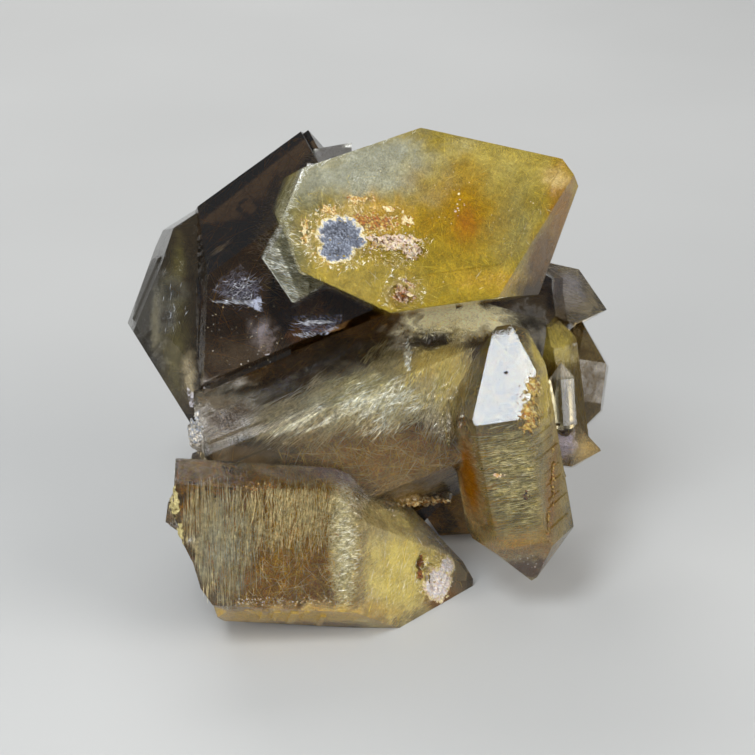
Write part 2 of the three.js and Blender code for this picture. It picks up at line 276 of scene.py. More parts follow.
def welded(mesh):
    """The CAD mesh as points in the front's frame and triangles, its flat faces cut into good triangles."""
    bm = bmesh.new()
    bm.from_mesh(mesh)
    bmesh.ops.remove_doubles(bm, verts=bm.verts, dist=WELD)
    bmesh.ops.dissolve_limit(bm, angle_limit=FLAT, verts=bm.verts, edges=bm.edges)
    bmesh.ops.triangulate(bm, faces=bm.faces, quad_method="BEAUTY", ngon_method="BEAUTY")
    bm.verts.index_update()
    points = np.array([v.co for v in bm.verts])
    triangles = np.array([[v.index for v in f.verts] for f in bm.faces])
    bm.free()
    return to_front(points), triangles


def edges_of(triangles):
    """The different edges as pairs of points, and each triangle's three edges as their numbers."""
    pairs = np.sort(triangles[:, [[0, 1], [1, 2], [2, 0]]].reshape(-1, 2), axis=1)
    stride = int(triangles.max()) + 1
    keys, which = np.unique(pairs[:, 0] * stride + pairs[:, 1], return_inverse=True)
    return np.stack([keys // stride, keys % stride], 1), which.reshape(-1, 3)


MOST_ROUNDS = 14


def refined(points, triangles, longest):
    """Splits every edge longer than longest(midpoints), again and again, keeping the mesh whole."""
    for _ in range(MOST_ROUNDS):
        edges, which = edges_of(triangles)
        ends = points[edges]
        middles = ends.mean(1)
        split = np.linalg.norm(ends[:, 0] - ends[:, 1], axis=1) > longest(middles)
        if not split.any():
            break
        added = np.full(len(edges), -1)
        added[split] = len(points) + np.arange(split.sum())
        points = np.vstack([points, middles[split]])
        marked = split[which]
        count = marked.sum(1)
        made = [triangles[count == 0]]
        for first in range(3):
            a, b, c = (triangles[:, (first + k) % 3] for k in range(3))
            ab, bc, ca = (added[which[:, (first + k) % 3]] for k in range(3))
            one = (count == 1) & marked[:, first]
            made += [np.stack(t, 1)[one] for t in ((a, ab, c), (ab, b, c))]
            two = (count == 2) & ~marked[:, first]
            made += [np.stack((bc, c, ca), 1)[two]]
            from_a, from_b = (np.linalg.norm(points[p] - points[q], axis=1) for p, q in ((a, bc), (b, ca)))
            near = from_a < from_b
            made += [np.stack(t, 1)[two & near] for t in ((a, b, bc), (a, bc, ca))]
            made += [np.stack(t, 1)[two & ~near] for t in ((a, b, ca), (b, bc, ca))]
        three = count == 3
        a, b, c = triangles[three].T
        ab, bc, ca = added[which[three]].T
        made += [np.stack(t, 1) for t in ((a, ab, ca), (ab, b, bc), (ca, bc, c), (ab, bc, ca))]
        triangles = np.vstack(made)
    return points, triangles


def normals_of(points, triangles):
    """The direction that each triangle faces."""
    a, b, c = (points[triangles[:, k]] for k in range(3))
    return unit(np.cross(b - a, c - a))


# A face belongs to the crystal whose plane it lies nearest to: how much a turned face counts in millimetres,
# and how near and how parallel it lies to that plane where it is one of the crystal's flats
TURN_COUNTS = 3
FLAT_DEPTH = 0.8
FLAT_FACING = 0.995


def hosts_of(centres, normals):
    """The crystal that each face belongs to, as its number in NAMES, and whether the face is a flat of it."""
    best = np.full(len(centres), np.inf)
    host = np.zeros(len(centres), int)
    flat = np.zeros(len(centres), bool)
    for number, name in enumerate(NAMES):
        planes, distances = HOSTS[name]
        out = centres @ planes.T - distances
        nearest = out.argmax(1)
        depth = out[np.arange(len(out)), nearest]
        facing = (planes[nearest] * normals).sum(1)
        score = np.abs(depth) + TURN_COUNTS * (1 - facing)
        better = score < best
        best[better], host[better] = score[better], number
        flat[better] = (facing > FLAT_FACING)[better] & (np.abs(depth) < FLAT_DEPTH)[better]
    return host, flat


# Where the surface is finer and rougher: (point, half-widths, longest edge, relief), in millimetres
ROUGH = [
    ((-8.2, 30, 24), (8, 7.5, 4), 0.8, 0.22),
    ((3.5, 28, 25.6), (7.5, 4, 3), 0.7, 0.28),
    ((5.3, 18.3, 26.5), (5, 4, 3), 0.75, 0.25),
    ((13, -46, 0), (7, 6, 6), 0.8, 0.22),
    ((34.5, -5, 14), (5, 9, 5), 0.8, 0.2),
    ((11.1, 8.5, 7), (7, 4.5, 4), 0.85, 0.25),
    ((16, -9, 13), (5, 7, 4), 0.85, 0.2),
    ((-41, -12, 2), (4, 6, 6), 0.85, 0.25),
    ((-42, -36, 14), (5, 14, 10), 1.0, 0.3),
    ((9, -28.5, 6), (8, 4, 6), 0.85, 0.3),
]
# The longest edge elsewhere, and how far a rough place is cut finer, as a share of its half-widths
LONGEST = 1.75
ROUGH_REACH = 1.15


def off_centre(points, centre, radii):
    """How far off the middle of an oval each point is, where 1 is the oval's skin."""
    return np.linalg.norm((points - np.array(centre)) / np.array(radii), axis=-1)


FINE_SWELL = 0.7
FINE_SHARE = 0.5


def zone_share(points, centre, radii, ragged, seed, soft=0.15):
    """How far inside an uneven rounded zone each point is, 0 to 1, fading over a soft edge."""
    off = off_centre(points, centre, radii)
    # Only points this near can be inside, whatever the unevenness adds
    near = off < 1.05 + soft + 2 * ragged
    close = points[near]
    swell = 0.35 * min(radii[:2]) + 0.4
    off[near] += ragged * wobble(close, swell, seed)
    off[near] += FINE_SHARE * ragged * wobble(close, FINE_SWELL, seed + 5)
    return np.where(near, smooth(1 + soft, 1 - soft, off), 0)


def longest_edge(middles):
    """How long an edge may be at each of these points."""
    limit = np.full(len(middles), LONGEST)
    for centre, radii, edge, _ in ROUGH:
        inside = off_centre(middles, centre, radii) < ROUGH_REACH
        limit[inside] = np.minimum(limit[inside], edge)
    return limit


def sums(count, users, normals):
    """For each of so many points or edges, the sum of the normals of the triangles that use it."""
    total = np.zeros((count, 3))
    for column in users.T:
        np.add.at(total, column, normals)
    return total


# Edges that fold by more than twice SHARP_FOLD are worn: they move a share of the way to the mean of their
# neighbours. What rests on the floor stays flat
SHARP_FOLD = math.radians(9)
WEAR = 0.06
WEAR_SWING = 0.05
WEAR_SWELL = 3
WEAR_SEED = 4
ROUGH_RAGGED = 0.12
ROUGH_SEED = 20
# The grains of a rough place: (height as a share of its relief, size, seed)
GRAINS = ((0.6, 0.8, 40), (0.5, 0.4, 60))
ON_FLOOR = 0.02 * MM


def worn(points, triangles, face_normals):
    """The points, with sharp edges a little and unevenly worn, and the rough places in relief."""
    edges, which = edges_of(triangles)
    around = np.zeros((len(points), 3))
    links = np.zeros(len(points))
    for a, b in ((0, 1), (1, 0)):
        np.add.at(around, edges[:, a], points[edges[:, b]])
        np.add.at(links, edges[:, a], 1)
    around /= links[:, None]
    point_normals = unit(sums(len(points), triangles, face_normals))
    edge_normals = sums(len(edges), which, face_normals)
    sharp_edge = np.linalg.norm(edge_normals, axis=1) < 2 * math.cos(SHARP_FOLD)
    sharp = np.zeros(len(points), bool)
    sharp[edges[sharp_edge].ravel()] = True
    wear = np.where(sharp, WEAR + WEAR_SWING * wobble(points, WEAR_SWELL, WEAR_SEED), 0)[:, None]
    moved = points + wear * (around - points)
    for number, (centre, radii, _, relief) in enumerate(ROUGH):
        share = zone_share(points, centre, radii, ROUGH_RAGGED, ROUGH_SEED + number)
        grain = sum(height * wobble(points, size, seed + number) for height, size, seed in GRAINS)
        moved += point_normals * (share * relief * grain)[:, None]
    resting = to_part(points)[:, 2] < ON_FLOOR
    return np.where(resting[:, None], points, moved)


points, triangles = welded(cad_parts["quartz_cluster"].data)
points, triangles = refined(points, triangles, longest_edge)
face_normals = normals_of(points, triangles)
host, flat = hosts_of(points[triangles].mean(1), face_normals)
points = worn(points, triangles, face_normals)

# Each crystal's own colour, which tints what is seen through it, and how clouded its skin is:
# (colour, cover 0 to 1, frost 0 to 1)
SKIN = {
    "upper": (srgb(220, 193, 54), 0.24, 0.03),
    "shoulder": (srgb(176, 174, 146), 0.2, 0.2),
    "smoky": (srgb(122, 104, 82), 0.01, 0.02),
    "end": (srgb(84, 74, 52), 0.06, 0.06),
    "middle": (srgb(226, 216, 192), 0.02, 0.03),
    "lower": (srgb(238, 220, 176), 0.03, 0.03),
    "right": (srgb(232, 220, 166), 0.06, 0.05),
    "point": (srgb(112, 94, 66), 0.02, 0.04),
    "high": (srgb(182, 172, 146), 0.1, 0.1),
    "ridge": (srgb(170, 148, 78), 0.1, 0.08),
    "outer": (srgb(156, 136, 84), 0.16, 0.12),
    "clear": (srgb(226, 228, 212), 0.02, 0.02),
    "low": (srgb(206, 186, 140), 0.14, 0.08),
    "root": (srgb(118, 98, 62), 0.15, 0.15),
}
BACK_SKIN = (srgb(176, 150, 96), 0.12, 0.12)
# How frosted the broken faces are at least
BROKEN_FROST = 0.12
# How uneven the edges of the skin's zones are, and the seed of the first
ZONE_RAGGED = 0.22
ZONE_SEED = 80

# Stains, felts and some painted shade in the skin: (crystals, point, half-widths, colour, cover, frost,
# softness of the edge)
ZONES_OF = [
    ("upper", [
        ((-2, 45.5, 21), (21, 9.5, 6), (202, 202, 176), 0.38, 0.2, 0.5),
        ((-20, 29, 20), (8, 12, 9), (160, 156, 112), 0.3, 0.25, 0.5),
        ((25, 46, 18), (14, 6, 9), (232, 212, 110), 0.34, 0.06, 0.8),
        ((29.5, 32.5, 24), (6, 9, 6), (200, 186, 104), 0.28, 0.05, 0.8),
        ((18, 36.5, 24), (9, 9, 5), (202, 158, 0), 0.36, 0.03, 0.8),
        ((19.5, 33.5, 24.5), (2.4, 3.4, 4), (196, 130, 0), 0.4, 0.05, 0.9),
        ((-1, 35, 24.5), (8, 4.6, 4), (206, 164, 56), 0.5, 0.25, 0.6),
        ((-8.2, 30, 24), (7.6, 7.2, 4), (212, 184, 100), 0.55, 0.3, 0.5),
        ((5.3, 18.5, 26.5), (3.6, 2.8, 3), (150, 122, 84), 0.8, 0.4, 0.3),
        ((40.5, 36, 20), (3.4, 13, 12), (166, 118, 8), 0.55, 0.05, 0.6),
        ((36, 24, 14), (6, 9, 10), (140, 100, 16), 0.55, 0.05, 0.6),
        ((-26, 38, 5), (8, 13, 17), (120, 114, 92), 0.3, 0.2, 0.5),
        ((25, 21, 24), (10, 2.6, 8), (206, 168, 48), 0.5, 0.25, 0.7),
        # Partly painted shade: a dark brown patch on the upper crystal's lower right corner, matching the
        # shade and the dark crystals beside it
        ((38, 19, 13), (8, 7.5, 14), (58, 42, 14), 0.8, 0.05, 0.4),
        ((36.5, 28, 17), (4, 5, 12), (120, 84, 8), 0.6, 0.05, 0.8),
        ((39, 43.5, 20), (3.2, 2.4, 7), (226, 196, 120), 0.5, 0.2, 0.7),
        ((-3, 19.5, 24), (13, 6, 5), (216, 192, 92), 0.32, 0.1, 0.6),
    ]),
    # Painted shade: the shoulder's top facet made dark and matte, so that it shows no light from the rim lamp
    ("shoulder", [((-11, 51, -3), (8, 5, 8), (52, 44, 32), 0.9, 1.0, 0.3)]),
    ("upper", [((-20.5, 37, 15), (2.8, 13, 12), (128, 122, 76), 0.7, 1.0, 0.3)]),
    ("lower", [
        ((13.5, -46.5, -1), (5.2, 6.2, 5), (196, 166, 116), 0.8, 0.5, 0.3),
        ((-35, -36, 18), (7.5, 13, 8), (222, 216, 190), 0.12, 0.08, 0.6),
        ((3.5, -43, 6), (12, 11.5, 14), (254, 232, 128), 0.46, 0.05, 0.7),
        ((-7.5, -37, 18), (2, 13, 9), (226, 216, 170), 0.14, 0.06, 0.8),
        ((-20, -52.5, 12), (24, 2.6, 8), (228, 190, 80), 0.5, 0.2, 0.5),
        ((-44.5, -25, 6), (5, 7, 9), (206, 192, 136), 0.5, 0.15, 0.5),
        ((-14, -21.5, 12), (18, 3, 8), (128, 112, 112), 0.3, 0.12, 0.6),
        ((14, -53, -8), (7, 6, 8), (150, 104, 44), 0.3, 0.2, 0.5),
    ]),
    ("right", [
        ((34.4, -5.5, 15), (3.4, 7.5, 6), (150, 122, 50), 0.6, 0.4, 0.5),
        ((37, -1, 12), (4.5, 12, 9), (206, 182, 78), 0.55, 0.2, 0.5),
        ((33.5, -37.5, 8), (7, 2.6, 8), (190, 146, 56), 0.3, 0.2, 0.9),
        ((39, -22, 8), (4.5, 18, 9), (164, 138, 54), 0.36, 0.08, 0.6),
        ((34, -44.5, 4), (7, 4.5, 8), (84, 56, 26), 0.55, 0.15, 0.5),
        ((38, -24, 10), (2.2, 14, 5), (166, 118, 44), 0.35, 0.3, 0.6),
        ((20.5, -25, 10), (3, 15, 8), (176, 112, 10), 0.3, 0.15, 0.6),
    ]),
    ("middle", [
        ((18, 13.5, 6), (15, 4.4, 10), (255, 248, 204), 0.95, 0.3, 0.4),
        ((-35, -12, 4), (8, 9, 8), (86, 68, 46), 0.5, 0.15, 0.6),
        ((14, 2, 12), (8, 8, 9), (226, 204, 124), 0.34, 0.1, 0.7),
        # Painted shade: a dark patch under the cap, where the hollow below it lies in shadow
        ((11.5, 8.2, 7), (7, 2.2, 6), (60, 52, 38), 0.75, 0.3, 0.5),
        ((-1, -4, 12), (11, 6, 8), (222, 214, 170), 0.22, 0.06, 0.8),
        ((-41, -12, 2), (3, 5, 6), (206, 200, 190), 0.5, 0.4, 0.4),
        ((10, -28.6, 4), (8, 3.4, 9), (196, 156, 76), 0.5, 0.4, 0.4),
    ]),
    ("end", [
        ((-51, 15, -12), (8, 17, 16), (34, 30, 20), 0.55, 0.12, 0.6),
        ((-54, 20, -14), (5.5, 11, 12), (44, 39, 26), 0.85, 0.1, 0.5),
        ((-47, 8, -8), (2.4, 14, 12), (112, 104, 64), 0.4, 0.12, 0.9),
        ((-51.5, 12, -10), (1.2, 6, 8), (140, 134, 110), 0.45, 0.12, 0.7),
        ((-46.2, 26, -6), (1.2, 6, 8), (104, 96, 50), 0.5, 0.12, 0.8),
    ]),
    ("smoky", [
        ((-32, 20, 0), (7.5, 6, 9), (190, 186, 200), 0.01, 0.02, 0.5),
        ((-15, 12.5, 2), (7, 3.5, 8), (190, 190, 206), 0.01, 0.02, 0.5),
    ]),
    ("end", [
        ((-47.5, 20.5, -4), (3, 2.5, 4), (150, 148, 130), 0.08, 0.05, 0.7),
        ((-49, 14, -5), (2, 3.4, 4), (150, 148, 136), 0.08, 0.05, 0.7),
        ((-43.5, 1, -6), (1.6, 5, 5), (206, 190, 150), 0.35, 0.25, 0.6),
    ]),
    ("smoky middle", [((-35.5, -1.0, 3), (5.5, 1.1, 7), (214, 208, 204), 0.62, 0.2, 0.5)]),
    ("smoky", [
        ((-26.5, 9, 1.5), (2.6, 4, 3), (206, 198, 206), 0.26, 0.15, 0.7),
        ((-31, 4, 2), (11, 4.5, 7), (150, 128, 100), 0.12, 0.05, 0.8),
    ]),
    ("middle", [((-2, -19, 9), (24, 8, 12), (206, 182, 136), 0.12, 0.05, 0.8)]),
    ("low", [
        ((43, -15, -2), (2.6, 4, 6), (206, 198, 216), 0.5, 0.12, 0.4),
        ((49, -19, -6), (3, 5, 6), (212, 180, 112), 0.4, 0.12, 0.5),
    ]),
    ("clear", [((43.5, -6, -2), (3.6, 7, 6), (206, 208, 190), 0.04, 0.02, 0.6)]),
    ("outer", [((50, -1, -16), (6, 9, 9), (84, 64, 10), 0.6, 0.1, 0.5)]),
    ("clear", [((43.3, 1.5, -2), (3.4, 2.4, 6), (236, 224, 200), 0.4, 0.05, 0.6)]),
    ("ridge", [((41, 8, -5), (6, 5, 6), (190, 170, 72), 0.6, 0.2, 0.5)]),
    ("high", [((44, 21, -17), (5, 5, 7), (186, 184, 194), 0.26, 0.15, 0.6)]),
    # Painted shade: a dark patch where the middle, point and root crystals meet under the upper crystal's
    # corner
    ("middle point root", [((34, 11, -4), (6, 7, 10), (44, 38, 24), 0.7, 0.1, 0.6)]),
]
ZONES = [
    (names.split(), centre, radii, srgb(*colour), amount, matte, soft)
    for names, zones in ZONES_OF
    for centre, radii, colour, amount, matte, soft in zones
]

# A striated side face looks across its crystal's long axis, apart from this much
ACROSS_AXIS = 0.1


def skin_looks(corners):
    """The tint, cover and frost of each corner: its crystal's own, with the zones laid over it in turn."""
    corner_host = np.repeat(host[:, None], 3, axis=1)
    tint = np.zeros(corners.shape)
    cover = np.zeros(corners.shape[:2])
    frost = np.zeros(corners.shape[:2])
    for number, name in enumerate(NAMES):
        mine = corner_host == number
        tint[mine], cover[mine], frost[mine] = SKIN.get(name, BACK_SKIN)
    frost[~flat] = np.maximum(frost[~flat], BROKEN_FROST)
    for number, (names, centre, radii, colour, amount, matte, soft) in enumerate(ZONES):
        share = zone_share(corners, centre, radii, ZONE_RAGGED, ZONE_SEED + number, soft)
        share[~np.isin(corner_host, [NAMES.index(name) for name in names])] = 0
        tint += share[..., None] * (colour - tint)
        cover += share * (amount - cover)
        frost += share * (matte - frost)
    return tint, cover, frost


def striated(corners):
    """How far along its crystal each corner of a striated face is, and 1 where a face is striated."""
    along = np.zeros(corners.shape[:2])
    groove = np.zeros(corners.shape[:2])
    for name, axis in AXES.items():
        mine = (host == NAMES.index(name)) & flat & (np.abs(face_normals @ axis) < ACROSS_AXIS)
        along[mine] = corners[mine] @ axis
        groove[mine] = 1
    return along, groove


tint, cover, frost = skin_looks(points[triangles])
along, groove = striated(points[triangles])
mesh = bpy.data.meshes.new("quartz")
mesh.from_pydata(to_part(points).tolist(), [], triangles.tolist())
for name, kind, values in (
    ("tint", "FLOAT_COLOR", np.concatenate([tint, np.ones((*cover.shape, 1))], -1)),
    ("cover", "FLOAT", cover),
    ("frost", "FLOAT", frost),
    ("along", "FLOAT", along * MM),
    ("groove", "FLOAT", groove),
):
    attribute = mesh.attributes.new(name, kind, "CORNER")
    field = "color" if kind == "FLOAT_COLOR" else "value"
    attribute.data.foreach_set(field, values.astype(np.float32).ravel())
mesh.validate()
quartz = placed("quartz_crystals", mesh)

# ---------------------------------------------------------------- material helpers


class Nodes:
    """A short way to build one material's nodes."""

    def __init__(self, name):
        self.material = bpy.data.materials.new(name)
        self.material.use_nodes = True
        self.tree = self.material.node_tree
        self.tree.nodes.clear()
        self.out = self.tree.nodes.new("ShaderNodeOutputMaterial")
        self.where = self.add("ShaderNodeTexCoord").outputs["Object"]

    def add(self, kind, inputs=None, **settings):
        node = self.tree.nodes.new(kind)
        for key, value in settings.items():
            setattr(node, key, value)
        for key, value in (inputs or {}).items():
            self.put(node.inputs[key], value)
        return node

    def put(self, socket, value):
        if isinstance(value, bpy.types.NodeSocket):
            self.tree.links.new(value, socket)
        else:
            socket.default_value = value

    def math(self, operation, *values):
        node = self.add("ShaderNodeMath", operation=operation)
        for k, value in enumerate(values):
            self.put(node.inputs[k], value)
        return node.outputs[0]

    def spread(self, value, low, high, to_low=0.0, to_high=1.0):
        node = self.add("ShaderNodeMapRange", interpolation_type="SMOOTHSTEP")
        ends = {"Value": value, "From Min": low, "From Max": high, "To Min": to_low, "To Max": to_high}
        for key, item in ends.items():
            self.put(node.inputs[key], item)
        return node.outputs["Result"]

    def mix(self, share, a, b, blend="MIX"):
        node = self.add("ShaderNodeMix", data_type="RGBA", blend_type=blend)
        for key, value in ((0, share), (6, a), (7, b)):
            self.put(node.inputs[key], value)
        return node.outputs[2]

    def attribute(self, name, output="Fac"):
        return self.add("ShaderNodeAttribute", attribute_name=name).outputs[output]

    def noise(self, where, size, detail=2.0, rough=0.5, dimensions="3D"):
        place = "W" if dimensions == "1D" else "Vector"
        inputs = {"Scale": 1 / size, "Detail": detail, "Roughness": rough, place: where}
        return self.add("ShaderNodeTexNoise", inputs, noise_dimensions=dimensions).outputs[0]

    def stretched(self, rotation, scale):
        """The object's own coordinates, turned by rotation and drawn out by scale."""
        inputs = {"Vector": self.where, "Rotation": rotation, "Scale": scale}
        return self.add("ShaderNodeMapping", inputs, vector_type="TEXTURE").outputs[0]

    def bump(self, strength, distance, height, over=None):
        inputs = {"Strength": strength, "Distance": distance, "Height": height}
        if over is not None:
            inputs["Normal"] = over
        return self.add("ShaderNodeBump", inputs).outputs[0]

    def tinted(self, shade):
        """The mesh's own tint, times a shade."""
        return self.mix(1.0, self.attribute("tint", "Color"), shade, blend="MULTIPLY")

    def surface(self, base, roughness, inputs):
        """Ends the material in one Principled shader."""
        inputs = {"Base Color": base, "Roughness": roughness, **inputs}
        shader = self.add("ShaderNodeBsdfPrincipled", inputs)
        self.tree.links.new(shader.outputs[0], self.out.inputs["Surface"])
        return self.material


def rgba(colour):
    return (*[float(c) for c in colour], 1.0)


# ---------------------------------------------------------------- quartz material

# Directions that the felt of needles near the skin runs in, as turns about x, y and z in degrees
FELT_TURNS = ((65, 0, 12), (62, 5, 58), (70, -6, 104), (66, 4, 151))
FELT_LENGTH = 15 * MM
FELT_WIDTH = 0.24 * MM
MOST_COVER = 0.97
QUARTZ_IOR = 1.544
# The colour that light keeps on its way through the quartz, and how dense that is for each metre
SMOKE = (0.52, 0.38, 0.12, 1.0)
SMOKE_DENSITY = 100.0


def quartz_material():
    n = Nodes("quartz")
    # The felt: thin lines of a drawn-out noise, in four directions
    fibres = None
    for turn in FELT_TURNS:
        rotation = tuple(math.radians(a) for a in turn)
        stretched = n.stretched(rotation, (FELT_LENGTH, FELT_WIDTH, FELT_WIDTH))
        ridge = n.math("ABSOLUTE", n.math("SUBTRACT", n.noise(stretched, 1.0, 1.0), 0.5))
        line = n.spread(ridge, 0.035, 0.0)
        fibres = line if fibres is None else n.math("MAXIMUM", fibres, line)
    # How much of the skin covers the clear quartz: patchy and felted where thin, whole where thick
    cover_of = n.attribute("cover")
    patches = n.noise(n.where, 3.2 * MM, 4.0, 0.6)
    specks = n.noise(n.where, 0.55 * MM, 2.0, 0.6)
    patchy = n.spread(patches, 0.32, 0.68, 0.8, 1.15)
    felted = n.math("MULTIPLY_ADD", fibres, 0.55, 0.62)
    haze = n.math("MULTIPLY", n.math("MULTIPLY", cover_of, patchy), felted)
    covered = n.mix(n.spread(cover_of, 0.62, 0.85), haze, cover_of)
    covered = n.math("MINIMUM", n.math("MAXIMUM", covered, 0.0), MOST_COVER)
    light = n.math("MULTIPLY_ADD", fibres, 0.38, 0.85)
    shade = n.math("MULTIPLY", light, n.spread(specks, 0.3, 0.7, 0.82, 1.18))
    base = n.tinted(n.mix(n.spread(covered, 0.05, 0.4), (1, 1, 1, 1), shade))
    # Clear faces are smooth with smears, frosted and covered ones are rough
    smears = n.spread(n.noise(n.where, 6 * MM, 5.0, 0.62), 0.45, 0.75)
    rough = n.math("MULTIPLY_ADD", n.math("MULTIPLY", n.attribute("frost"), smears), 0.5, 0.012)
    rough = n.math("MAXIMUM", rough, n.math("MULTIPLY", n.spread(covered, 0.4, 0.9), 0.42))
    # Relief: slow swells, then the side faces' striations, then grit where the skin is covered
    bands = n.noise(n.attribute("along"), 0.9 * MM, 3.0, 0.7, dimensions="1D")
    steps = n.math("MULTIPLY", bands, n.attribute("groove"))
    swells = n.noise(n.where, 9 * MM, 2.0, 0.45)
    undulating = n.bump(0.2, 0.25 * MM, swells)
    striated = n.bump(0.5, 0.06 * MM, steps, undulating)
    grit = n.spread(covered, 0.3, 0.9, 0.04, 0.6)
    gritty = n.bump(grit, 0.12 * MM, n.math("ADD", specks, fibres), striated)
    smoke = n.add("ShaderNodeVolumeAbsorption", {"Color": SMOKE, "Density": SMOKE_DENSITY})
    n.tree.links.new(smoke.outputs[0], n.out.inputs["Volume"])
    clear = n.math("SUBTRACT", 1.0, covered)
    return n.surface(base, rough, {"IOR": QUARTZ_IOR, "Transmission Weight": clear, "Normal": gritty})


mesh.materials.append(quartz_material())
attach(quartz, "root")
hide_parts("quartz_cluster")

# ---------------------------------------------------------------- rutile needles

skin = BVHTree.FromPolygons([Vector(p) for p in points.tolist()], triangles.tolist())

# How deep under the skin needles lie at least, how far past their crystal's planes bare ones may reach and
# how far off the skin they may stand, in millimetres
UNDER_SKIN = 0.06
BARE_REACH = -0.3
PROUD_MOST = 0.6
# How near a needle may come to the floor
LOWEST = 0.15 * MM


def sits(candidates, margin, proud=False):
    """Which points lie at least margin under the quartz's skin, or anywhere up to just over it if proud."""
    kept = np.zeros(len(candidates), bool)
    above_floor = to_part(candidates)[:, 2] > LOWEST
    for number, candidate in enumerate(candidates.tolist()):
        spot = Vector(candidate)
        place, normal, _, distance = skin.find_nearest(spot)
        out = (spot - place).dot(normal) > 0
        if proud:
            kept[number] = not out or distance < PROUD_MOST
        else:
            kept[number] = not out and distance >= margin
    return kept & above_floor


PARALLEL = 1e-9


def clipped(starts, ends, name, margin):
    """The stretch of each straight run that lies inside a crystal, as shares of the run, low and high."""
    planes, distances = HOSTS[name]
    a = starts @ planes.T - distances + margin
    run = (ends - starts) @ planes.T
    cut = -a / np.where(np.abs(run) < PARALLEL, PARALLEL, run)
    low = np.where(run < 0, cut, 0).max(1).clip(0, 1)
    high = np.where(run > 0, cut, 1).min(1).clip(0, 1)
    return low, high


def headings_of(rng, count, fan):
    """Directions in the front's frame from a fan: a list of (heading, spread, rise, lift, share)."""
    shares = np.array([share for *_, share in fan], float)
    pick = rng.choice(len(fan), count, p=shares / shares.sum())
    table = np.array([f[:4] for f in fan], float)[pick]
    turn = np.radians(table[:, 0] + table[:, 1] * rng.normal(size=count))
    lift = np.radians(table[:, 2] + table[:, 3] * rng.normal(size=count))
    return np.stack([np.cos(lift) * np.cos(turn), np.cos(lift) * np.sin(turn), np.sin(lift)], 1)


ANY_WAY = [(0, 180, 0, 22, 1)]

# A crop thins out from the core of its oval zone to its reach, as shares of the zone's half-widths
ZONE_CORE = 0.3
ZONE_REACH = 1.2
MOST_TRIES = 400
TRIED_AT_ONCE = 8


def middles_in(rng, name, count, depth, centre=None, radii=None):
    """Points inside a crystal, no deeper than depth = (low, high) under its faces, and in a rounded zone."""
    planes, distances = HOSTS[name]
    found = []
    total = 0
    low, high = BOXES[name]
    if centre is not None:
        low = np.maximum(low, np.array(centre) - ZONE_REACH * np.array(radii))
        high = np.minimum(high, np.array(centre) + ZONE_REACH * np.array(radii))
    for _ in range(MOST_TRIES):
        tried = rng.uniform(low, high, (TRIED_AT_ONCE * count, 3))
        under = (distances - tried @ planes.T).min(1)
        keep = (under > depth[0]) & (under < depth[1])
        if centre is not None:
            keep &= off_centre(tried, centre, radii) < rng.uniform(ZONE_CORE, ZONE_REACH, len(tried))
        found.append(tried[keep])
        total += keep.sum()
        if total >= count:
            break
    return np.vstack(found)[:count]


def box_of(name):
    mine = points[triangles[host == NAMES.index(name)]].reshape(-1, 3)
    return mine.min(0), mine.max(0)


BOXES = {name: box_of(name) for name in NAMES if (host == NAMES.index(name)).any()}
# How much deeper than the skin a zone colours the needles under it
TINT_DEPTH = 4


def tint_at(places, name, fallback):
    """The colour that the skin's zones give a crystal at these places."""
    colour = np.tile(np.array(fallback), (len(places), 1))
    for number, (names, centre, radii, zone_colour, _, _, soft) in enumerate(ZONES):
        if name in names:
            wide = (radii[0], radii[1], radii[2] + TINT_DEPTH)
            share = zone_share(places, centre, wide, ZONE_RAGGED, ZONE_SEED + number, soft)
            colour += share[:, None] * (zone_colour - colour)
    return colour


def needle_mesh(starts, ends, bows, girths, colours, rings):
    """Closed three-sided spindles from start to end, bowed, with so many rings between their tips."""
    along_needle = unit(ends - starts)
    helper = np.where(np.abs(along_needle[:, :1]) < 0.8, [[1.0, 0, 0]], [[0, 1.0, 0]])
    across = unit(np.cross(along_needle, helper))
    up = np.cross(along_needle, across)
    parts = [starts[:, None, :]]
    for ring in range(rings):
        t = (ring + 1) / (rings + 1)
        centre = starts + (ends - starts) * t + bows * (4 * t * (1 - t))
        for k in range(3):
            angle = 2 * math.pi * k / 3
            out = across * math.cos(angle) + up * math.sin(angle)
            parts.append((centre + girths[:, None] * out)[:, None, :])
    parts.append(ends[:, None, :])
    places = np.concatenate(parts, 1)
    each = places.shape[1]
    faces = []
    for k in range(3):
        after = (k + 1) % 3
        faces.append((0, 1 + after, 1 + k))
        for ring in range(rings - 1):
            a, b = 1 + 3 * ring + k, 1 + 3 * ring + after
            faces += [(a, b, b + 3), (a, b + 3, a + 3)]
        last = 1 + 3 * (rings - 1)
        faces.append((last + k, last + after, each - 1))
    faces = (np.array(faces)[None] + each * np.arange(len(starts))[:, None, None]).reshape(-1, 3)
    return places.reshape(-1, 3), faces, np.repeat(colours, each, axis=0)


# A needle is tested at these places along its length, and left out where less than a share of it fits
TESTED_AT = (0, 1 / 3, 1 / 2, 2 / 3, 1)
LEAST_KEPT = 0.25


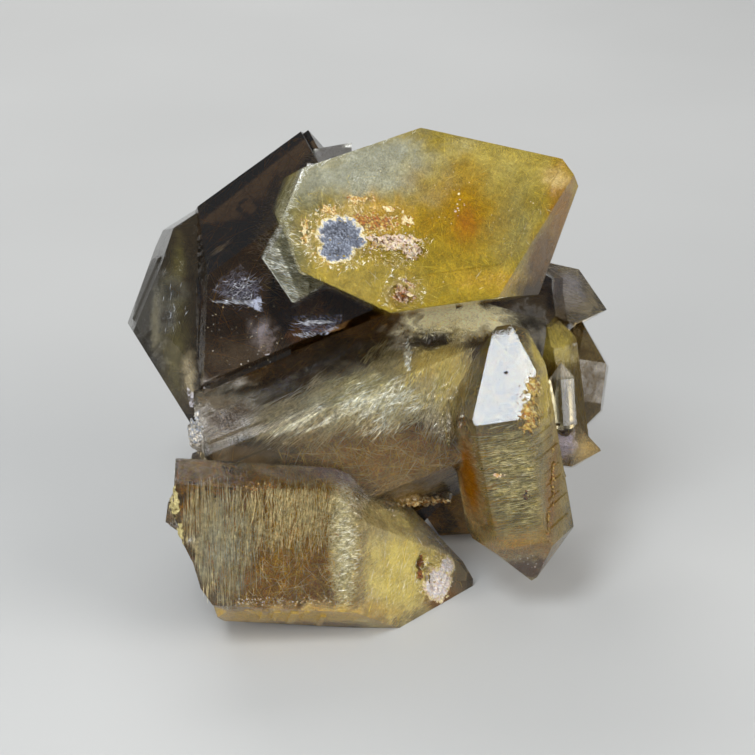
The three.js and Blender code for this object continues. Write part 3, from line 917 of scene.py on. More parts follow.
def needles(name, count, seed, length, girth, colours, fan=ANY_WAY, depth=(0.05, 3), centre=None, radii=None,
            bow=0.0, rings=None, blend=0.0, proud=False, locks=0):
    """A crop of needles in one crystal, or lying proud on it, as (places, faces, colours).

    colours is a list to pick from at random, and blend is how far they take on the skin's zones' colour.
    bow is a share of the length. Where locks is given, the needles gather in locks about that wide.
    """
    rng = np.random.default_rng(seed)
    margin = BARE_REACH if proud else UNDER_SKIN
    middles = middles_in(rng, name, count, depth, centre, radii)
    count = len(middles)
    ways = headings_of(rng, count, fan)
    lengths = rng.uniform(*length, count) * rng.uniform(0.5, 1, count)
    half = ways * lengths[:, None] / 2
    starts, ends = middles - half, middles + half
    low, high = clipped(starts, ends, name, margin)
    starts, ends = starts + (ends - starts) * low[:, None], starts + (ends - starts) * high[:, None]
    sideways = unit(np.cross(ways, rng.normal(size=(count, 3))))
    bows = sideways * (bow * lengths * rng.uniform(0, 1, count))[:, None]
    keep = high - low > LEAST_KEPT
    for t in TESTED_AT:
        spots = starts + (ends - starts) * t + bows * (4 * t * (1 - t))
        keep[keep] = sits(spots[keep], 0.5 * margin, proud)
    if locks:
        way = unit(ways.mean(0))
        gathered = wobble(middles - 0.8 * np.outer(middles @ way, way), locks, seed)
        keep &= rng.random(count) < smooth(-0.9, 0.2, gathered)
    starts, ends, bows = starts[keep], ends[keep], bows[keep]
    own = np.array(colours)[rng.integers(0, len(colours), keep.sum())]
    if locks:
        own = own * (0.85 + 0.4 * gathered[keep, None])
    if blend:
        own = own + blend * (tint_at((starts + ends) / 2, name, own.mean(0)) - own)
    own = own * rng.uniform(0.7, 1.25, (len(own), 1))
    girths = rng.uniform(*girth, len(own))
    return needle_mesh(starts, ends, bows, girths, own, rings or (2 if bow else 1))


def joined(crops):
    """Several crops, each (places, faces, colours), as one."""
    places, faces, colours = zip(*crops)
    starts = np.cumsum([0] + [len(crop) for crop in places[:-1]])
    faces = [crop + start for crop, start in zip(faces, starts)]
    return np.vstack(places), np.vstack(faces), np.vstack(colours)


def rutile_piece(name, crops):
    tinted_piece(name, *joined(crops), RUTILE, "rutile")


def tinted_piece(name, places, faces, colours, material, slot, smooth_faces=True):
    """One piece of triangles, with a colour for each of its points."""
    made = bpy.data.meshes.new(name)
    made.vertices.add(len(places))
    made.vertices.foreach_set("co", to_part(places).astype(np.float32).ravel())
    made.loops.add(3 * len(faces))
    made.loops.foreach_set("vertex_index", faces.astype(np.int32).ravel())
    made.polygons.add(len(faces))
    made.polygons.foreach_set("loop_start", np.arange(0, 3 * len(faces), 3, dtype=np.int32))
    made.polygons.foreach_set("use_smooth", np.full(len(faces), smooth_faces))
    made.update()
    made.validate()
    attribute = made.attributes.new("tint", "FLOAT_COLOR", "POINT")
    attribute.data.foreach_set("color", np.c_[colours, np.ones(len(colours))].astype(np.float32).ravel())
    made.materials.append(material)
    piece = placed(name, made)
    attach(piece, "root")


def rutile_material():
    n = Nodes("rutile")
    flecks = n.spread(n.noise(n.where, 0.8 * MM, 2.0, 0.6), 0.3, 0.7, 0.7, 1.35)
    rough = n.spread(flecks, 0.7, 1.35, 0.35, 0.55)
    lustre = {"Metallic": 0.45, "Specular IOR Level": 0.2, "Specular Tint": (1.0, 0.86, 0.55, 1.0)}
    return n.surface(n.tinted(flecks), rough, lustre)


RUTILE = rutile_material()
PALE = srgb(252, 246, 212)
YELLOW = srgb(244, 216, 108)
HONEY = srgb(232, 180, 52)
AMBER = srgb(212, 128, 28)
OLIVE = srgb(206, 192, 104)
SILVER = srgb(253, 249, 230)
UMBER = srgb(140, 98, 44)
SAGE = srgb(120, 112, 60)
FROSTY = srgb(236, 242, 236)

UPPER_FAN = [(75, 16, 0, 5, 4), (20, 14, 0, 5, 2), (140, 16, 0, 5, 3), (100, 12, 0, 5, 2), (0, 180, 0, 14, 3)]
rutile_piece("rutile_upper", [
    needles("upper", 19000, 1, (3, 11), (0.05, 0.085), [YELLOW, OLIVE, OLIVE], UPPER_FAN, (0.05, 3.2),
        blend=0.75),
    needles("upper", 5200, 2, (3, 10), (0.05, 0.08), [YELLOW, YELLOW, PALE], UPPER_FAN, (0.05, 0.5),
        (12, 34, 25), (34, 24, 4), blend=0.7, locks=1.6),
    needles("upper", 380, 4, (4, 12), (0.08, 0.12), [PALE, YELLOW], UPPER_FAN, (0.05, 0.4), (14, 32, 25),
        (30, 20, 4), bow=0.05),
    needles("shoulder", 6000, 3, (2, 7), (0.05, 0.09), [SILVER, FROSTY, PALE, SAGE], [(168, 16, 0, 8, 1)],
        (0.05, 1.2), locks=1.0),
])

FUR = [(165, 28, 0, 14, 1)]
rutile_piece("rutile_smoky", [
    needles("smoky", 900, 11, (1.5, 4.5), (0.03, 0.05), [OLIVE, SILVER], FUR, (0.1, 5), (-23, 35, 8),
        (6, 18, 9)),
    needles("smoky", 700, 12, (6, 26), (0.03, 0.05), [UMBER, HONEY], ANY_WAY, (0.3, 9), bow=0.03),
    needles("smoky", 90, 10, (8, 22), (0.05, 0.08), [HONEY, PALE, OLIVE],
        [(68, 12, 0, 8, 2), (20, 40, 0, 8, 1)], (0.1, 2.0)),
    needles("smoky", 8, 9, (9, 12), (0.1, 0.15), [SILVER], [(37, 1, 0, 1, 1)], (0.1, 1.2), (-36, 29, 3),
        (0.8, 0.8, 6)),
    needles("smoky", 12, 8, (9, 12), (0.06, 0.11), [SILVER], [(-20, 2, 0, 3, 1)], (0.1, 1.2),
        (-31.6, 17.4, 3), (1.4, 0.6, 6)),
    needles("end", 600, 13, (3, 12), (0.03, 0.05), [OLIVE, UMBER, HONEY], ANY_WAY, (0.1, 8)),
    needles("point", 260, 14, (2, 9), (0.03, 0.06), [HONEY, UMBER], ANY_WAY, (0.1, 5)),
])

COMB = [(38, 5, 0, 4, 1)]
RAY = [(54, 6, 0, 4, 1)]
FELT = [(28, 16, 0, 8, 2), (62, 14, 0, 8, 1)]
rutile_piece("rutile_middle", [
    needles("middle", 1300, 21, (4, 13), (0.07, 0.11), [SILVER, PALE, SILVER], COMB, (0.08, 1.2),
        (-20, -9.8, 9), (8.5, 5, 9), blend=0.75, locks=1.6),
    needles("middle", 800, 19, (5, 15), (0.08, 0.14), [SILVER, FROSTY],
        [(40, 12, 0, 4, 2), (58, 8, 0, 4, 1)], (0.08, 0.5), (-8, -7, 11), (17, 6.5, 9), bow=0.04),
    needles("middle", 160, 18, (4, 10), (0.1, 0.14), [PALE, SILVER], [(75, 9, 0, 4, 1)], (0.08, 0.5),
        (15, 0, 12), (8, 12, 9), bow=0.04),
    needles("middle", 700, 17, (3, 8), (0.07, 0.11), [SILVER], [(70, 5, 0, 4, 1)], (0.08, 0.8),
        (14.5, -8, 12), (4.5, 6, 9)),
    needles("middle", 1000, 22, (7, 16), (0.07, 0.12), [SILVER, SILVER, PALE], RAY, (0.08, 0.9),
        (-12, -6, 10), (3.2, 7.5, 9), blend=0.75, locks=1.4),
    needles("middle", 4600, 23, (3, 9), (0.05, 0.09), [PALE, SILVER, PALE, YELLOW], FELT, (0.08, 1.2),
        (-1.5, -6, 12), (10.5, 6.5, 9), blend=0.75, locks=1.6),
    needles("middle", 1800, 24, (3, 10), (0.06, 0.1), [PALE, OLIVE, SILVER], [(62, 9, 0, 6, 1)],
        (0.08, 1.2), (3, 4, 10), (6, 7, 9), blend=0.75, locks=1.6),
    needles("middle", 3000, 25, (3, 9), (0.06, 0.1), [YELLOW, PALE, PALE, HONEY], [(74, 10, 0, 6, 1)],
        (0.08, 1.4), (14, -0.5, 12), (7, 7, 10), blend=0.75, locks=1.8),
    needles("middle", 5200, 26, (2, 6), (0.06, 0.1), [PALE, SILVER, PALE, YELLOW], [(100, 26, 0, 6, 1)],
        (0.05, 0.8), (16, 13, 8), (15, 4, 10)),
    needles("middle", 420, 27, (5, 14), (0.05, 0.08), [YELLOW, PALE, SILVER], ANY_WAY, (0.08, 1.0),
        (2, -18, 10), (21, 8, 12), bow=0.12),
    needles("middle", 3600, 20, (5, 14), (0.03, 0.055), [HONEY, AMBER, YELLOW], ANY_WAY, (0.5, 7),
        (2, -18, 10), (21, 8, 12)),
    needles("middle", 1000, 28, (3, 16), (0.03, 0.05), [UMBER, OLIVE, HONEY], ANY_WAY, (0.1, 9), bow=0.05),
    needles("middle", 1500, 29, (3, 10), (0.06, 0.09), [HONEY, YELLOW, PALE], [(28, 14, 0, 8, 1)],
        (0.05, 1.8), (8, -25, 4), (16, 4.5, 10), blend=0.75),
])

# Felt that lies bare on the skin
rutile_piece("rutile_felt", [
    needles("middle", 1400, 70, (1.5, 5), (0.03, 0.06), [PALE, SILVER, YELLOW, PALE], [(100, 30, 0, 3, 1)],
        (-0.2, 0.05), (18, 13, 8), (14, 4, 10), locks=1.6, proud=True),
    needles("middle", 500, 71, (6, 14), (0.035, 0.06), [SILVER, PALE], COMB, (-0.15, 0.05), (-16, -10, 10),
        (10, 4.5, 9), locks=1.4, proud=True),
    needles("middle", 700, 72, (4, 11), (0.035, 0.06), [SILVER, FROSTY, PALE], FELT, (-0.15, 0.05),
        (-1, -6, 12), (11, 6, 9), locks=1.4, proud=True),
    needles("middle", 120, 79, (2, 5), (0.1, 0.17), [FROSTY, SILVER], [(63, 4, 0, 2, 1)], (-0.2, 0.1),
        (6.9, 5, 9), (0.8, 4.4, 7), proud=True),
    needles("middle", 420, 73, (4, 10), (0.025, 0.045), [YELLOW, PALE, OLIVE], [(70, 12, 0, 3, 1)],
        (-0.15, 0.05), (13, -1.5, 12), (8, 6.5, 10), locks=1.4, proud=True),
    needles("shoulder", 1800, 74, (2, 5), (0.035, 0.06), [SILVER, FROSTY], [(168, 16, 0, 4, 1)],
        (-0.15, 0.05), (-21, 25, 15), (9, 12, 9), locks=1.6, proud=True),
    needles("lower", 300, 75, (1, 3.5), (0.04, 0.07), [SILVER, PALE], [(190, 26, 0, 6, 1)], (-0.15, 0.05),
        (-7, -36, 17), (3, 12, 9), proud=True),
    needles("lower", 900, 76, (3, 10), (0.03, 0.05), [YELLOW, PALE, SILVER],
        [(34, 12, 0, 4, 3), (80, 30, 0, 4, 1)], (-0.15, 0.05), (5, -44, 4), (12, 11, 16), proud=True),
    needles("upper", 700, 77, (2, 7), (0.02, 0.035), [YELLOW, PALE, YELLOW], UPPER_FAN, (-0.15, 0.05),
        (10, 31, 25), (28, 18, 4), locks=2.0, proud=True),
    needles("upper", 900, 78, (2, 5), (0.025, 0.045), [SILVER, PALE, OLIVE], [(168, 20, 0, 5, 1)],
        (-0.15, 0.05), (-19.5, 28, 18), (4, 13, 9), locks=1.6, proud=True),
])

rutile_piece("rutile_lower", [
    needles("lower", 260, 29, (6, 16), (0.1, 0.15), [SILVER], [(91, 2, 0, 3, 1)], (0.06, 0.4),
        (-36, -37, 20), (8, 14, 9)),
    needles("lower", 90, 28, (3, 9), (0.06, 0.1), [YELLOW, PALE], ANY_WAY, (0.1, 1.5), (-17, -37, 18),
        (15, 13, 12), bow=0.08),
    needles("lower", 1500, 31, (6, 20), (0.06, 0.11), [SILVER, FROSTY, PALE], [(91, 2.5, 0, 3, 1)],
        (0.06, 0.5), (-36, -37, 20), (10, 14, 9), locks=1.6),
    needles("lower", 800, 32, (4, 12), (0.06, 0.11), [SILVER, PALE], [(86, 8, 0, 4, 1)], (0.06, 0.9),
        (-19, -30, 20), (13, 8, 9), bow=0.05, blend=0.75),
    needles("lower", 260, 33, (5, 15), (0.05, 0.08), [YELLOW, PALE, HONEY], ANY_WAY, (0.15, 2.5),
        (-19, -38, 18), (16, 14, 12), bow=0.09),
    needles("lower", 3600, 30, (5, 14), (0.03, 0.055), [HONEY, YELLOW, AMBER], ANY_WAY, (0.5, 6),
        (-19, -38, 18), (16, 14, 12)),
    needles("lower", 700, 27, (3, 9), (0.04, 0.06), [YELLOW, HONEY, PALE],
        [(96, 24, 0, 6, 2), (40, 24, 0, 6, 1)], (0.08, 1.0), (-19, -40, 18), (14, 12, 12), bow=0.06,
        locks=1.6),
    needles("lower", 5200, 34, (3, 9), (0.05, 0.09), [AMBER, HONEY, YELLOW], ANY_WAY, (3.5, 10),
        (-19, -38, 14), (20, 15, 12)),
    needles("lower", 2600, 35, (1.5, 5), (0.06, 0.1), [SILVER, SILVER, PALE], [(190, 26, 0, 12, 1)],
        (0.06, 1.0), (-7.5, -37, 18), (3, 13, 9), bow=0.08),
])
rutile_piece("rutile_lower_tip", [
    needles("lower", 1100, 40, (4, 12), (0.07, 0.12), [PALE, SILVER, YELLOW],
        [(34, 9, 0, 6, 3), (80, 20, 0, 6, 1)], (0.05, 0.4), (5, -44, 4), (13, 12, 16)),
    needles("lower", 5600, 41, (3, 11), (0.055, 0.1), [YELLOW, PALE, PALE, HONEY],
        [(36, 10, 0, 6, 3), (70, 30, 0, 8, 1)], (0.05, 1.2), (4, -43, 4), (14, 13, 16), blend=0.75),
    needles("lower", 1800, 42, (2, 8), (0.06, 0.1), [SILVER, SILVER, PALE], ANY_WAY, (0.05, 0.8),
        (-1, -33, 14), (7, 7, 10), blend=0.75),
    needles("lower", 3000, 43, (3, 11), (0.05, 0.08), [HONEY, YELLOW, YELLOW], [(-4, 12, 0, 8, 1)],
        (0.05, 1.6), (-18, -52, 8), (20, 4, 12), blend=0.75),
    needles("lower", 1500, 44, (2, 9), (0.035, 0.06), [UMBER, HONEY, SILVER], ANY_WAY, (0.1, 4),
        (8, -30, 0), (14, 8, 14)),
    needles("lower", 3500, 45, (3, 12), (0.045, 0.075), [HONEY, AMBER, YELLOW], ANY_WAY, (0.1, 6)),
])

ACROSS = [(11.5, 5, 0, 3, 1)]
rutile_piece("rutile_right", [
    needles("right", 420, 50, (4, 12), (0.09, 0.14), [SILVER], ACROSS, (0.06, 0.4), (29.5, -20, 17),
        (9, 12, 7), bow=0.04),
    needles("right", 3900, 51, (3, 10), (0.055, 0.1), [SILVER, OLIVE, SAGE, PALE], ACROSS, (0.06, 0.8),
        (29.5, -22.5, 17), (9, 14, 7), bow=0.03, rings=1, locks=1.1),
    needles("right", 3000, 56, (3, 10), (0.05, 0.08), [OLIVE, YELLOW, HONEY],
        [(11, 14, 0, 8, 3), (60, 40, 0, 8, 1)], (0.8, 3.5), (29.5, -25, 15), (9, 15, 8)),
    needles("right", 3200, 52, (3, 9), (0.055, 0.09), [YELLOW, OLIVE, PALE], [(100, 18, 0, 12, 1)],
        (0.05, 1.4), (38, -12, 8), (6, 26, 12), blend=0.75),
    needles("right", 1800, 53, (3, 10), (0.045, 0.07), [HONEY, AMBER, UMBER], ANY_WAY, (0.1, 4),
        (21, -27, 8), (6, 18, 12)),
    needles("right", 1500, 54, (2, 7), (0.05, 0.08), [HONEY, AMBER, PALE], ANY_WAY, (0.05, 2.5),
        (33, -42, 4), (9, 7, 12)),
    needles("right", 2200, 55, (3, 10), (0.045, 0.07), [HONEY, YELLOW, OLIVE], ANY_WAY, (0.1, 5)),
])

SMALL_SEED = 60
SMALL_GIRTH = (0.04, 0.07)
# The small and the back crystals: (crystal, count, lengths, colours, fan, depths)
SMALL = [
    ("ridge", 2600, (2, 7), [YELLOW, PALE, OLIVE], [(98, 8, 10, 8, 1)], (0.05, 2)),
    ("outer", 1600, (2, 8), [OLIVE, HONEY, UMBER], [(82, 30, 0, 14, 1)], (0.05, 3)),
    ("high", 900, (2, 8), [PALE, OLIVE, SILVER], [(-12, 20, 0, 12, 1)], (0.05, 3)),
    ("low", 260, (1.5, 6), [PALE, HONEY], ANY_WAY, (0.1, 4)),
    ("clear", 40, (1, 4), [SILVER, OLIVE], [(94, 20, 0, 8, 1)], (0.3, 2)),
    ("root", 1200, (3, 14), [HONEY, OLIVE, UMBER], ANY_WAY, (0.1, 6)),
]
SMALL += [
    (name, 800, (3, 12), [HONEY, OLIVE, UMBER, YELLOW], ANY_WAY, (0.1, 5)) for name in BACK if name in BOXES
]
rutile_piece("rutile_small", [
    needles(name, count, SMALL_SEED + number, length, SMALL_GIRTH, colours, fan, depth)
    for number, (name, count, length, colours, fan, depth) in enumerate(SMALL)
])

# ---------------------------------------------------------------- grains and crusts

GOLDEN_RATIO = (1 + math.sqrt(5)) / 2
PAIRS = [(a, b) for a in (-1, 1) for b in (-GOLDEN_RATIO, GOLDEN_RATIO)]
BALL_POINTS = unit(np.array([turn for a, b in PAIRS for turn in ((0, a, b), (a, b, 0), (b, 0, a))], float))
# Longer than an edge of the ball and shorter than the next distance between its points
NEIGHBOURS = 1.1


def ball_faces():
    """The twenty faces of the ball, each turned outwards."""
    near = np.linalg.norm(BALL_POINTS[:, None] - BALL_POINTS[None], axis=2) < NEIGHBOURS
    found = []
    for a, b, c in itertools.combinations(range(len(BALL_POINTS)), 3):
        if near[a, b] and near[b, c] and near[a, c]:
            normal = np.cross(BALL_POINTS[b] - BALL_POINTS[a], BALL_POINTS[c] - BALL_POINTS[a])
            found.append((a, b, c) if normal @ BALL_POINTS[a] > 0 else (a, c, b))
    return np.array(found)


BALL_FACES = ball_faces()

# Rays to the skin start this high over the front's origin
OVER_FRONT = 80
# How much of a grain's height is lost, and how much of its size is sunk into the skin
FLATTER = 0.4
SUNK = 0.15


def skin_at(x, y):
    """Where the front's skin is at x, y and which way it faces there, or None twice."""
    spot, normal, *_ = skin.ray_cast(Vector((x, y, OVER_FRONT)), Vector((0, 0, -1)))
    return spot, normal


def grains(seed, count, centre, radii, size, colours, ring):
    """Angular grains on the skin, in an oval of the front (or a ring of it), as (places, faces, colours)."""
    rng = np.random.default_rng(seed)
    made = []
    each = len(BALL_POINTS)
    for _ in range(count):
        angle = rng.uniform(0, 2 * math.pi)
        reach = math.sqrt(rng.uniform(ring * ring, 1))
        x = centre[0] + radii[0] * reach * math.cos(angle)
        y = centre[1] + radii[1] * reach * math.sin(angle)
        spot, normal = skin_at(x, y)
        if spot is None:
            continue
        half = rng.uniform(*size)
        shape = BALL_POINTS * rng.uniform(0.7, 1.25, (each, 1)) * half * rng.uniform(0.6, 1.3, 3)
        up = np.array(normal)
        shape = shape - np.outer(shape @ up, up) * FLATTER
        tint = colours[rng.integers(len(colours))] * rng.uniform(0.65, 1.0)
        made.append((shape + np.array(spot) - SUNK * half * up, BALL_FACES, np.tile(tint, (each, 1))))
    return joined(made)


CREAM = srgb(222, 206, 160)
ROSE = srgb(206, 180, 164)
RUST = srgb(160, 92, 26)
OCHRE = srgb(190, 150, 78)
GINGER = srgb(150, 98, 30)
CHALK = srgb(222, 214, 200)
SLATE = srgb(116, 121, 134)
STEEL = srgb(148, 155, 170)
STONE_GREY = srgb(150, 146, 134)
INK = srgb(34, 31, 28)
LEAD = srgb(62, 64, 72)
DUSK = srgb(92, 97, 110)
BRASS = srgb(186, 156, 74)
MOSS = srgb(134, 112, 52)
SOIL = srgb(104, 70, 36)
DRAB = srgb(160, 148, 96)
STRAW = srgb(196, 182, 126)
LILAC = srgb(198, 192, 198)


def crust_material():
    n = Nodes("crust")
    speckle = n.noise(n.where, 0.25 * MM, 3.0, 0.7)
    base = n.tinted(n.spread(speckle, 0.3, 0.7, 0.65, 1.3))
    rough = n.spread(speckle, 0.3, 0.7, 0.45, 0.8)
    return n.surface(base, rough, {"Normal": n.bump(0.6, 0.08 * MM, speckle)})


# A crust's grid on the front, how uneven it is, how far it stands off the skin, and how steeply it may drop
STEP = 0.24
JITTER = 0.3
LIFT = 0.08
STEEPEST = 6


def skin_grid(rng, across, up):
    """Where the skin is at each point of an uneven grid, which way it faces, and whether it is there."""
    places, normals, seen = [], [], []
    for y in up:
        for x in across:
            jitter = rng.uniform(-JITTER, JITTER, 2) * STEP
            spot, normal = skin_at(x + jitter[0], y + jitter[1])
            seen.append(spot is not None)
            places.append(spot or (x, y, 0))
            normals.append(normal or (0, 0, 1))
    return np.array(places), np.array(normals), np.array(seen)


def patch(seed, lobes, bands, relief, ragged):
    """A crust on the skin: lobes are ovals (x, y, half-widths) of the front, bands are (reach, colours)."""
    lobes = np.array(lobes, float)
    reach = bands[-1][0]
    widest = reach * (1 + ragged)
    low = (lobes[:, :2] - lobes[:, 2:] * widest).min(0)
    high = (lobes[:, :2] + lobes[:, 2:] * widest).max(0)
    across, up = (np.arange(low[k], high[k], STEP) for k in range(2))
    rng = np.random.default_rng(seed)
    places, normals, seen = skin_grid(rng, across, up)
    off = np.min([off_centre(places[:, :2], lobe[:2], lobe[2:]) for lobe in lobes], axis=0)
    small = float(lobes[:, 2:].min())
    off = off + ragged * wobble(places, 0.6 * small, seed) + 0.6 * ragged * wobble(places, 0.6, seed + 1)
    off += 0.15 * ragged * rng.normal(size=len(off))
    inner = smooth(reach, 0.8 * reach, off)
    lumps = 0.5 + 0.4 * wobble(places, 1.1, seed + 2) + 0.4 * wobble(places, 0.5, seed + 3)
    height = LIFT * (2 * inner - 1) + relief * inner * (lumps + 0.1 * rng.normal(size=len(off)))
    colours = np.zeros((len(places), 3))
    start = -1
    for limit, choices in bands:
        mine = (off >= start) & (off < limit)
        picked = (0.8 * wobble(places, 0.55, seed + 4) + rng.uniform(0, 0.2, len(off))) % 1 * len(choices)
        colours[mine] = np.array(choices)[picked.astype(int)[mine]]
        start = limit
    colours *= rng.uniform(0.75, 1.0, (len(colours), 1))
    wide = len(across)
    corner = (np.arange(len(up) - 1)[:, None] * wide + np.arange(wide - 1)[None]).ravel()
    halves = ((corner, corner + 1, corner + wide), (corner + 1, corner + wide + 1, corner + wide))
    faces = np.concatenate([np.stack(half, 1) for half in halves])
    good = seen & (off < reach)
    drop = np.ptp(places[faces, 2], axis=1)
    faces = faces[good[faces].all(1) & (drop < STEEPEST * STEP)]
    used = np.unique(faces)
    renumber = np.zeros(len(places), int)
    renumber[used] = np.arange(len(used))
    return (places + normals * height[:, None])[used], renumber[faces], colours[used]


STONE = [SLATE, DUSK, LEAD, STEEL, DUSK, SLATE, LEAD]
# Crusts: (lobes, bands, relief, how ragged their edge is)
PATCHES = [
    # The pit's granular floor, its cream rim and the rusty grains round it
    ([(-8.2, 31.4, 4.5, 3.3), (-8.9, 27.6, 3.5, 2.3), (-4.6, 29.4, 2.0, 1.2)],
     [(0.5, STONE), (0.92, [SLATE, DUSK, STEEL, DUSK]), (1.02, [STEEL, CHALK, STEEL]),
      (1.2, [CREAM, CHALK, STRAW, CREAM]), (1.3, [BRASS, STRAW, MOSS])], 0.3, 0.1),
    # The amber hollow beside it and the pale crumbs below that
    ([(0, 33.8, 4.0, 1.7), (-3.4, 34.6, 2.0, 1.3)],
     [(0.8, [GINGER, RUST, BRASS, SOIL]), (1.15, [BRASS, OCHRE, CREAM])], 0.35, 0.35),
    ([(3.4, 29.3, 5.0, 1.7), (7.4, 27.6, 2.2, 2.4), (-0.6, 30.6, 2.0, 0.8)],
     [(0.75, [ROSE, CHALK, CREAM, ROSE, SOIL]), (1.1, [CREAM, OCHRE, ROSE])], 0.5, 0.3),
    ([(-4, 38.9, 3.2, 1.0), (-11, 36.6, 2.4, 1.2)], [(1.0, [CREAM, OCHRE, BRASS, GINGER])], 0.4, 0.5),
    ([(2.8, 36.8, 1.6, 0.8), (6.4, 34.2, 1.7, 1.0)], [(1.0, [CREAM, OCHRE, CREAM])], 0.4, 0.35),
    ([(-15.8, 31.8, 1.1, 3.0)], [(1.0, [CREAM, GINGER, BRASS, CREAM])], 0.4, 0.5),
    ([(5.6, 18.4, 2.3, 2.3)], [(0.6, [SOIL, ROSE, SOIL, RUST]), (1.1, [ROSE, CREAM, OCHRE, SOIL])], 0.6, 0.3),
    # The chalky end of the lower crystal, rimmed with rust
    ([(13.9, -47.6, 3.2, 4.0), (16, -43.6, 1.8, 2.2)],
     [(0.85, [LILAC, CHALK, LILAC, CHALK, ROSE]), (1.15, [CREAM, STRAW, ROSE])], 0.3, 0.12),
    ([(9.7, -43.5, 0.9, 3.0)], [(1.1, [SOIL, RUST, SOIL])], 0.3, 0.3),
    # Rust down the right crystal's bright face, on its edge and round its tip
    ([(34.3, -2.4, 1.5, 2.6), (33.3, -8.4, 2.0, 3.6)],
     [(0.7, [BRASS, STRAW, MOSS, GINGER]), (1.15, [MOSS, BRASS, SOIL])], 0.3, 0.45),
    ([(39.2, -23, 0.5, 6), (38.2, -33, 0.5, 3)], [(1.1, [GINGER, BRASS, MOSS, SOIL])], 0.25, 0.7),
    ([(26.8, -21.6, 1.5, 0.6)], [(1.1, [ROSE, CREAM, OCHRE])], 0.3, 0.4),
    # The broken left end of the lower crystal and the flecks along its edges
    ([(-44.4, -26.8, 1.2, 3.4), (-43, -35, 0.8, 3.6)], [(1.1, [DRAB, STRAW, DRAB, DRAB])], 0.22, 0.3),
    ([(11, -29, 6.5, 1.0)], [(1.1, [OCHRE, CREAM, GINGER])], 0.4, 0.4),
    ([(-41.6, -12, 1.8, 3.4)], [(1.1, [STEEL, CHALK, STONE_GREY])], 0.5, 0.3),
]
# Loose grains: (count, middle, half-widths, sizes, colours, the ring's inner share)
CRUMBS = [
    (50, (-8.2, 30), (7.2, 6.6), (0.12, 0.32), [CREAM, OCHRE], 0.85),
    (60, (3.5, 29), (7, 3), (0.15, 0.4), [ROSE, CREAM, CHALK], 0.0),
    (60, (1.5, 34.3), (6.5, 3), (0.12, 0.34), [OCHRE, RUST, CREAM], 0.0),
    (10, (17.6, 38.5), (1.5, 3.5), (0.15, 0.35), [CREAM, ROSE], 0.0),
    (60, (12, 34), (24, 14), (0.08, 0.16), [CREAM, CREAM], 0.0),
    (90, (33.8, -5.5), (3.2, 7), (0.08, 0.26), [BRASS, MOSS, GINGER, SOIL], 0.0),
    (18, (34, -42), (5, 2.6), (0.1, 0.22), [CHALK, ROSE], 0.0),
    (10, (33, -26), (0.8, 1.3), (0.2, 0.4), [INK, SOIL], 0.0),
    (40, (14, -46), (4.2, 5), (0.12, 0.3), [CHALK, LILAC, CREAM], 0.0),
    (240, (-18, -49.4), (19, 1.0), (0.05, 0.16), [CREAM, CHALK, OCHRE], 0.0),
    (70, (-26.6, -23.8), (4.8, 0.9), (0.08, 0.25), [OCHRE, GINGER, SOIL], 0.0),
    (90, (26, 0), (6, 10), (0.06, 0.14), [INK, DUSK], 0.0),
    (4, (28.4, 1.2), (0.4, 0.4), (0.25, 0.4), [INK], 0.0),
    (50, (-30, 10), (9, 9), (0.07, 0.15), [CREAM, CHALK], 0.0),
]
CRUST_SEED = 400
CRUMB_SEED = 200
crusts = [patch(CRUST_SEED + 10 * number, *settings) for number, settings in enumerate(PATCHES)]
crumbs = [grains(CRUMB_SEED + number, *settings) for number, settings in enumerate(CRUMBS)]
tinted_piece("crust_grains", *joined(crusts + crumbs), crust_material(), "crust", smooth_faces=False)

# ---------------------------------------------------------------- fractures inside the crystals, and painted glints


def veil_material(name, colour, metallic, roughness, low, high):
    """Broken sheets and painted glints: low and high are how solid their thinnest and thickest patches are.
    """
    n = Nodes(name)
    streaked = n.stretched((0.3, 0.5, 0.9), (3.2, 0.8, 0.8))
    patches = n.noise(streaked, 1.3 * MM, 5.0, 0.7)
    fine = n.noise(streaked, 0.4 * MM, 3.0, 0.6)
    base = n.mix(fine, rgba(colour * 0.8), rgba(colour))
    bump = n.bump(1.0, 0.14 * MM, n.math("ADD", patches, fine))
    alpha = n.spread(patches, 0.38, 0.56, low, high)
    return n.surface(base, roughness, {"Metallic": metallic, "Alpha": alpha, "Normal": bump})


# A sheet's rings of points, the points along each side of its outline, and how ragged and how wavy it is
VEIL_RINGS = 7
RIM_STEPS = 6
RIM_JITTER = 0.12
VEIL_SWELL = 0.14


def veil(name, outline, under, facing, material, seed):
    """A thin sheet under the front's skin: its outline is points (x, y) of the front."""
    outline = np.array(outline, float)
    middle = outline.mean(0)
    front, _ = skin_at(*middle)
    centre = np.array([*middle, front.z - under])
    normal = direction(*facing)
    sides = zip(outline, np.roll(outline, -1, 0))
    rim = np.array([a + (b - a) * k / RIM_STEPS for a, b in sides for k in range(RIM_STEPS)])
    rng = np.random.default_rng(seed)
    rim += rng.normal(size=rim.shape) * RIM_JITTER
    places, faces = [centre], []
    for ring in range(1, VEIL_RINGS + 1):
        flat_places = middle + (rim - middle) * ring / VEIL_RINGS
        z = centre[2] - ((flat_places - middle) @ normal[:2]) / normal[2]
        ring_places = np.column_stack([flat_places, z])
        ring_places += normal * (VEIL_SWELL * wobble(ring_places, 2.5, seed))[:, None]
        places.extend(ring_places)
    each = len(rim)
    for k in range(each):
        after = (k + 1) % each
        faces.append((0, 1 + k, 1 + after))
        for ring in range(VEIL_RINGS - 1):
            a, b = 1 + ring * each + k, 1 + ring * each + after
            faces += [(a, a + each, b + each), (a, b + each, b)]
    tinted_piece(name, np.array(places), np.array(faces), np.ones((len(places), 3)), material, "veil")


FLASH = veil_material("veil_silver", srgb(190, 196, 216), 0.7, 0.34, 0.0, 0.5)
MILK = veil_material("veil_milky", srgb(206, 200, 204), 0.0, 0.5, 0.0, 0.75)
